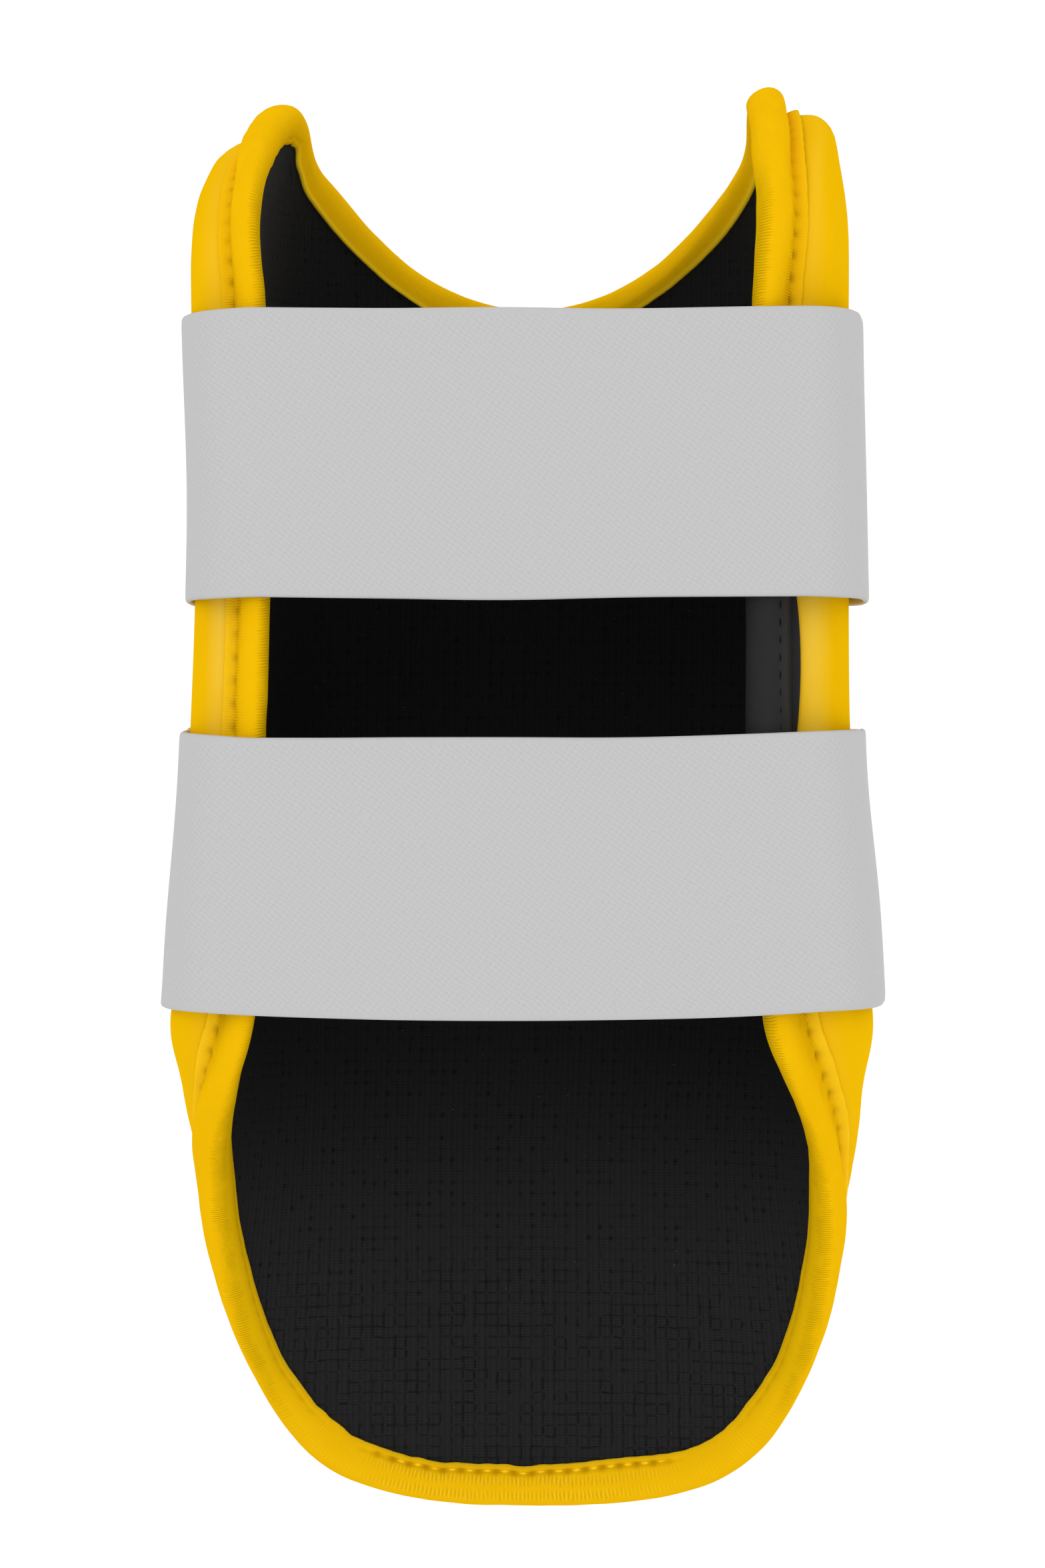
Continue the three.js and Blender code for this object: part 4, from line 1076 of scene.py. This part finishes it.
def lining_paint():
    p = Paint("dimpled_mesh", Roughness=0.9)
    p.b.inputs["Specular IOR Level"].default_value = 0.10
    u, v = p.uv()
    jig = p.noise(p.vec(u, v), 0.35, 2.0)
    jig2 = p.noise(p.vec(u, v, 9.0), 0.42, 2.0)
    uu = p.math("ADD", u, p.math("MULTIPLY", p.math("SUBTRACT", jig, 0.5), 0.9))
    vv = p.math("ADD", v, p.math("MULTIPLY", p.math("SUBTRACT", jig2, 0.5), 0.7))
    cx, cy = p.math("DIVIDE", uu, 2.15), p.math("DIVIDE", vv, 2.05)
    row, line = p.math("FLOOR", cy), p.math("FLOOR", cx)
    dx = p.math("MULTIPLY", p.math("SUBTRACT", p.math("FRACT", cx), 0.5), 2.15)
    dy = p.math("MULTIPLY", p.math("SUBTRACT", p.math("FRACT", cy), 0.5), 2.05)
    ax, ay = p.math("ABSOLUTE", dx), p.math("ABSOLUTE", dy)
    chance = p.cell(p.vec(p.math("FLOOR", p.math("ADD", cx, 0.5)), p.math("FLOOR", p.math("ADD", cy, 0.5))))
    chance_v = p.cell(p.vec(p.math("ADD", line, 70.0), row))
    chance_h = p.cell(p.vec(line, p.math("ADD", row, 60.0)))
    # dots are the mesh's holes, dashes the threads that part round them
    away_v = p.math("SUBTRACT", 1.075, ax)
    away_h = p.math("SUBTRACT", 1.025, ay)
    far = p.math("SQRT", p.math("ADD", p.math("MULTIPLY", p.math("MULTIPLY", away_v, away_v), 1.7), p.math("MULTIPLY", away_h, away_h)))
    hole = p.math("MULTIPLY", p.fit(far, 0.05, 0.80, 1.0, 0.0), p.fit(chance, 0.25, 0.95, 0.05, 1.0))
    slit = p.math("MULTIPLY", p.math("MULTIPLY", p.fit(away_v, 0.0, 0.34, 1.0, 0.0), p.fit(ay, 0.45, 0.95, 1.0, 0.0)),
                  p.fit(chance_v, 0.12, 0.85, 0.0, 1.0))
    bar = p.math("MULTIPLY", p.math("MULTIPLY", p.fit(away_h, 0.0, 0.28, 1.0, 0.0), p.fit(ax, 0.55, 1.05, 1.0, 0.0)),
                 p.fit(chance_h, 0.22, 0.88, 0.0, 0.9))
    near_foot = p.fit(v, -104.0, -76.0, 1.0, 0.0)
    hole = p.math("MULTIPLY", hole, p.fit(near_foot, 0.0, 1.0, 1.0, 0.85))
    dash = p.math("MULTIPLY", p.math("MAXIMUM", slit, bar), p.fit(near_foot, 0.0, 1.0, 0.42, 1.0))
    rib = p.wave(u, 1.075)
    thread = p.wave(u, 0.43)
    weft = p.wave(v, 0.52)
    patchy = p.noise(p.vec(u, v, 4.0), 0.22, 3.0)
    worn = p.fit(patchy, 0.35, 0.65, 0.65, 1.0)
    cut = p.math("MAXIMUM", hole, dash)
    h = p.math("ADD", p.math("MULTIPLY", cut, -1.0), p.math("MULTIPLY", rib, 0.12))
    h = p.math("ADD", h, p.math("ADD", p.math("MULTIPLY", thread, 0.08), p.math("MULTIPLY", weft, 0.06)))
    p.normal(p.bump(h, 0.50, 0.00032))
    lift = p.math("ADD", p.math("MULTIPLY", rib, 0.14), p.math("ADD", p.math("MULTIPLY", thread, 0.12), 0.55))
    lift = p.math("ADD", lift, p.math("MULTIPLY", weft, p.fit(patchy, 0.40, 0.62, 0.02, 0.20)))
    base = p.mix(lift, rgb(0.0072, 0.0072, 0.0075), rgb(0.0190, 0.0190, 0.0193))
    dark = p.mix(p.math("MULTIPLY", cut, worn), base, rgb(0.0026, 0.0026, 0.0027))
    # painted shade: the lining is darkened in the middle of the trough, under and between the straps
    trough_painted_shade = p.math("MULTIPLY", p.fit(v, -92.0, -32.0, 0.0, 1.0), p.fit(v, 70.0, 96.0, 1.0, 0.0))
    dark = p.mix(p.math("MULTIPLY", trough_painted_shade, 0.62), dark, rgb(0.0024, 0.0024, 0.0025))
    # painted shade: the lining darkens further towards the scoop end
    dark = p.mix(p.fit(v, 70.0, 96.0, 0.0, 0.55), dark, rgb(0.0024, 0.0024, 0.0025))
    speck = p.noise(p.vec(u, v, 2.0), 3.2, 0.0)
    p.colour(p.mix(p.fit(speck, 0.900, 0.910, 0.0, 0.40), dark, rgb(0.22, 0.22, 0.22)))
    return p.m


def strap_paint():
    p = Paint("twill_elastic", Roughness=0.85)
    p.b.inputs["Specular IOR Level"].default_value = 0.12
    u, v = p.uv()
    drift = p.noise(p.vec(u, v), 0.30, 2.0)
    lean = math.radians(36)
    run = p.math("ADD", p.math("MULTIPLY", u, math.sin(lean)), p.math("MULTIPLY", v, math.cos(lean)))
    twill = p.wave(run, 0.79, p.math("MULTIPLY", p.math("SUBTRACT", drift, 0.5), 9.0))
    across_ = p.math("SUBTRACT", p.math("MULTIPLY", u, math.cos(lean)), p.math("MULTIPLY", v, math.sin(lean)))
    beads = p.wave(across_, 1.05, p.math("MULTIPLY", twill, 0.8))
    yarn = p.noise(p.vec(u, v, 3.0), 2.1, 3.0)
    rim = p.fit(p.math("ABSOLUTE", v), STRAP_WIDTH / 2 - 1.5, STRAP_WIDTH / 2 - 0.9, 0.0, 1.0)
    body = p.math("SUBTRACT", 1.0, rim)
    selvedge = p.wave(u, 0.9)
    faint = p.fit(p.noise(p.vec(u, v, 6.0), 0.8, 2.0), 0.3, 0.7, 0.5, 1.0)
    weave = p.math("MULTIPLY", p.math("ADD", p.math("MULTIPLY", twill, 0.5), p.math("MULTIPLY", beads, 0.35)), faint)
    h = p.math("ADD", p.math("MULTIPLY", weave, body), p.math("MULTIPLY", p.math("MULTIPLY", selvedge, rim), 0.35))
    h = p.math("ADD", h, p.math("MULTIPLY", yarn, 0.3))
    p.normal(p.bump(h, 0.20, 0.00018))
    tone = p.fit(p.math("MULTIPLY", weave, body), -0.8, 0.8, 0.0, 1.0)
    base = p.mix(tone, rgb(0.484, 0.484, 0.486), rgb(0.528, 0.528, 0.529))
    p.colour(p.mix(p.fit(yarn, 0.35, 0.7, 0.0, 0.35), base, rgb(0.545, 0.545, 0.547)))
    return p.m


def label_paint():
    p = Paint("satin_weave", Roughness=0.6)
    p.b.inputs["Specular IOR Level"].default_value = 0.08
    u, v = p.uv()
    warp = p.wave(v, 0.26)
    weft = p.wave(u, 0.36, p.math("MULTIPLY", v, 5.0))
    patchy = p.noise(p.vec(u, v), 0.5, 3.0)
    h = p.math("ADD", p.math("MULTIPLY", warp, 0.4), p.math("MULTIPLY", weft, 0.4))
    p.normal(p.bump(h, 0.22, 0.00012))
    tone = p.math("ADD", p.math("MULTIPLY", p.math("ADD", p.math("MULTIPLY", warp, 0.2), 0.5), 0.6), p.math("MULTIPLY", patchy, 0.4))
    p.colour(p.mix(tone, rgb(0.0165, 0.0161, 0.0163), rgb(0.0250, 0.0244, 0.0246)))
    return p.m


def thread_paint(name, light, dark):
    p = Paint(name, Roughness=0.8)
    p.b.inputs["Specular IOR Level"].default_value = 0.0
    tone = p.noise(p.place(), 900.0, 2.0)
    p.colour(p.mix(p.fit(tone, 0.3, 0.7, 0.0, 1.0), dark, light))
    p.normal(p.bump(p.noise(p.place(), 3200.0, 1.0), 0.3, 0.0001))
    return p.m


# ------------------------------------------------------------------ build
def dress(obj, paint, slot, *nodes):
    obj.data.materials.append(paint)
    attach(obj, "root")
    if nodes:
        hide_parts(*nodes)
    return obj


elastic = strap_paint()

shell = dress(make_shell(), shell_paint(), "shell_fabric", "shell")
lining = dress(make_lining(), lining_paint(), "lining_mesh", "lining")
tape, tape_fr, tape_s, tape_row, foot_row, tape_leg, tape_sewn, tape_width, tape_length = make_tape()
dress(tape, tape_paint(), "binding_tape", "binding")


def along_edge(s_values, d_values, h_values):
    """Points on the bound edge at arc runs s, d in and h off the wall's middle, and the wall's normal there."""
    s_values = np.asarray(s_values) % tape_length
    ring = np.concatenate([tape_s, [tape_length]])
    pick = lambda arr: np.stack([np.interp(s_values, ring, np.concatenate([arr[:, j], arr[:1, j]])) for j in range(arr.shape[1])], -1)
    at = pick(np.stack([tape_fr.a, tape_fr.y, tape_fr.sa, tape_fr.sy], -1))
    a, y = at[:, 0] + at[:, 2] * d_values, at[:, 1] + at[:, 3] * d_values
    n = outward(a, y)
    return surface(a, y) + n * np.asarray(h_values)[:, None], n


def seam(name, row, d_of, h_of, side, radius, rise, cover, keep):
    pitch, mids = row
    at = lambda arr: np.interp(mids, tape_s, arr)
    ok = keep(at(tape_fr.y), at(surface(tape_fr.a, tape_fr.y)[:, 0]))
    mids = mids[ok]
    lo, hi = mids - cover * pitch / 2, mids + cover * pitch / 2
    pa, na = along_edge(lo, d_of(lo), h_of(lo))
    pb, nb = along_edge(hi, d_of(hi), h_of(hi))
    return threads(name, pa, pb, side * unit(na + nb), radius, rise)


leg_at = lambda s: np.interp(s % tape_length, tape_s, tape_leg)
sewn_at = lambda s: np.interp(s % tape_length, tape_s, tape_sewn)
outer_seam = seam("binding_seam", tape_row, lambda s: np.full(len(s), 2.86), lambda s: sewn_at(s) - 0.12,
                  1.0, 0.13, 0.05, 0.50, lambda y, x: np.ones(len(y), bool))
inner_seam = seam("binding_seam_inside", foot_row, lambda s: np.maximum(leg_at(s) - 1.25, 0.3),
                  lambda s: np.full(len(s), -(PLY_GAP + LINING_THICK + 0.40)), -1.0, 0.45, 0.10, 0.46,
                  lambda y, x: (y < -112) & (x > -27) & (x < 25.5))
yellow_thread = thread_paint("yellow_thread", rgb(0.93, 0.58, 0.022), rgb(0.88, 0.52, 0.008))
for piece in (outer_seam, inner_seam):
    dress(piece, yellow_thread, "binding_tape")

strap_upper, upper_run = make_strap("strap_upper_band", "upper", 31)
strap_lower, lower_run = make_strap("strap_lower_band", "lower", 32)
dress(strap_upper, elastic, "strap_elastic", "strap_upper")
dress(strap_lower, elastic, "strap_elastic", "strap_lower")

label, label_sew, label_width = make_label()
dress(label, label_paint(), "label_weave", "label")
dress(label_sew, thread_paint("black_thread", rgb(0.012, 0.012, 0.012), rgb(0.006, 0.006, 0.006)), "label_weave")

# ------------------------------------------------------------------ stage, light, camera
def make_floor():
    p = Paint("pale_floor", Roughness=0.9)
    p.b.inputs["Base Color"].default_value = rgb(0.16, 0.16, 0.16)
    p.b.inputs["Emission Color"].default_value = rgb(1, 1, 1)
    p.b.inputs["Emission Strength"].default_value = 0.94
    p.b.inputs["Specular IOR Level"].default_value = 0.0
    mesh = bpy.data.meshes.new("floor")
    r = 6.0
    mesh.from_pydata([(-r, -r, 0), (r, -r, 0), (r, r, 0), (-r, r, 0)], [], [(0, 1, 2, 3)])
    mesh.materials.append(p.m)
    obj = bpy.data.objects.new("floor", mesh)
    bpy.context.scene.collection.objects.link(obj)


make_floor()

world = bpy.data.worlds.new("studio")
world.use_nodes = True
world.node_tree.nodes["Background"].inputs[0].default_value = (1, 1, 1, 1)
world.node_tree.nodes["Background"].inputs[1].default_value = 0.91
scene = bpy.context.scene
scene.world = world


def softbox(name, at, aim, size, power):
    data = bpy.data.lights.new(name, "AREA")
    data.shape = "RECTANGLE"
    data.size, data.size_y = size
    data.energy = power
    obj = bpy.data.objects.new(name, data)
    obj.location = at
    obj.rotation_mode = "QUATERNION"
    obj.rotation_quaternion = (Vector(aim) - Vector(at)).to_track_quat("-Z", "Y")
    scene.collection.objects.link(obj)


softbox("key", (-0.45, 0.45, 1.65), (0, 0, 0.04), (1.0, 1.0), 5.0)
softbox("fill", (0.9, -0.5, 1.3), (0, 0, 0.04), (0.9, 0.9), 2.0)

AZIMUTH = math.radians(4.05)
aim = Vector(to_frame((0.0, 0.0, 45.0)))
toward = Vector((math.sin(AZIMUTH), 0, math.cos(AZIMUTH)))
camera = bpy.data.objects.new("camera", bpy.data.cameras.new("camera"))
scene.collection.objects.link(camera)
camera.location = aim + toward * 1.3876
camera.rotation_mode = "QUATERNION"
right = Vector((math.cos(AZIMUTH), 0, -math.sin(AZIMUTH)))
up = toward.cross(right)
from mathutils import Matrix
camera.rotation_quaternion = Matrix((right, up, toward)).transposed().to_quaternion()
camera.data.sensor_fit = "AUTO"
camera.data.sensor_width = 36.0
camera.data.lens = 36.0 * 8.5 * 1350 / 2352
camera.data.clip_start, camera.data.clip_end = 0.05, 30
scene.camera = camera

scene.view_settings.view_transform = "Standard"
scene.view_settings.look = "None"
scene.view_settings.exposure = 0.0
scene.view_settings.gamma = 1.0
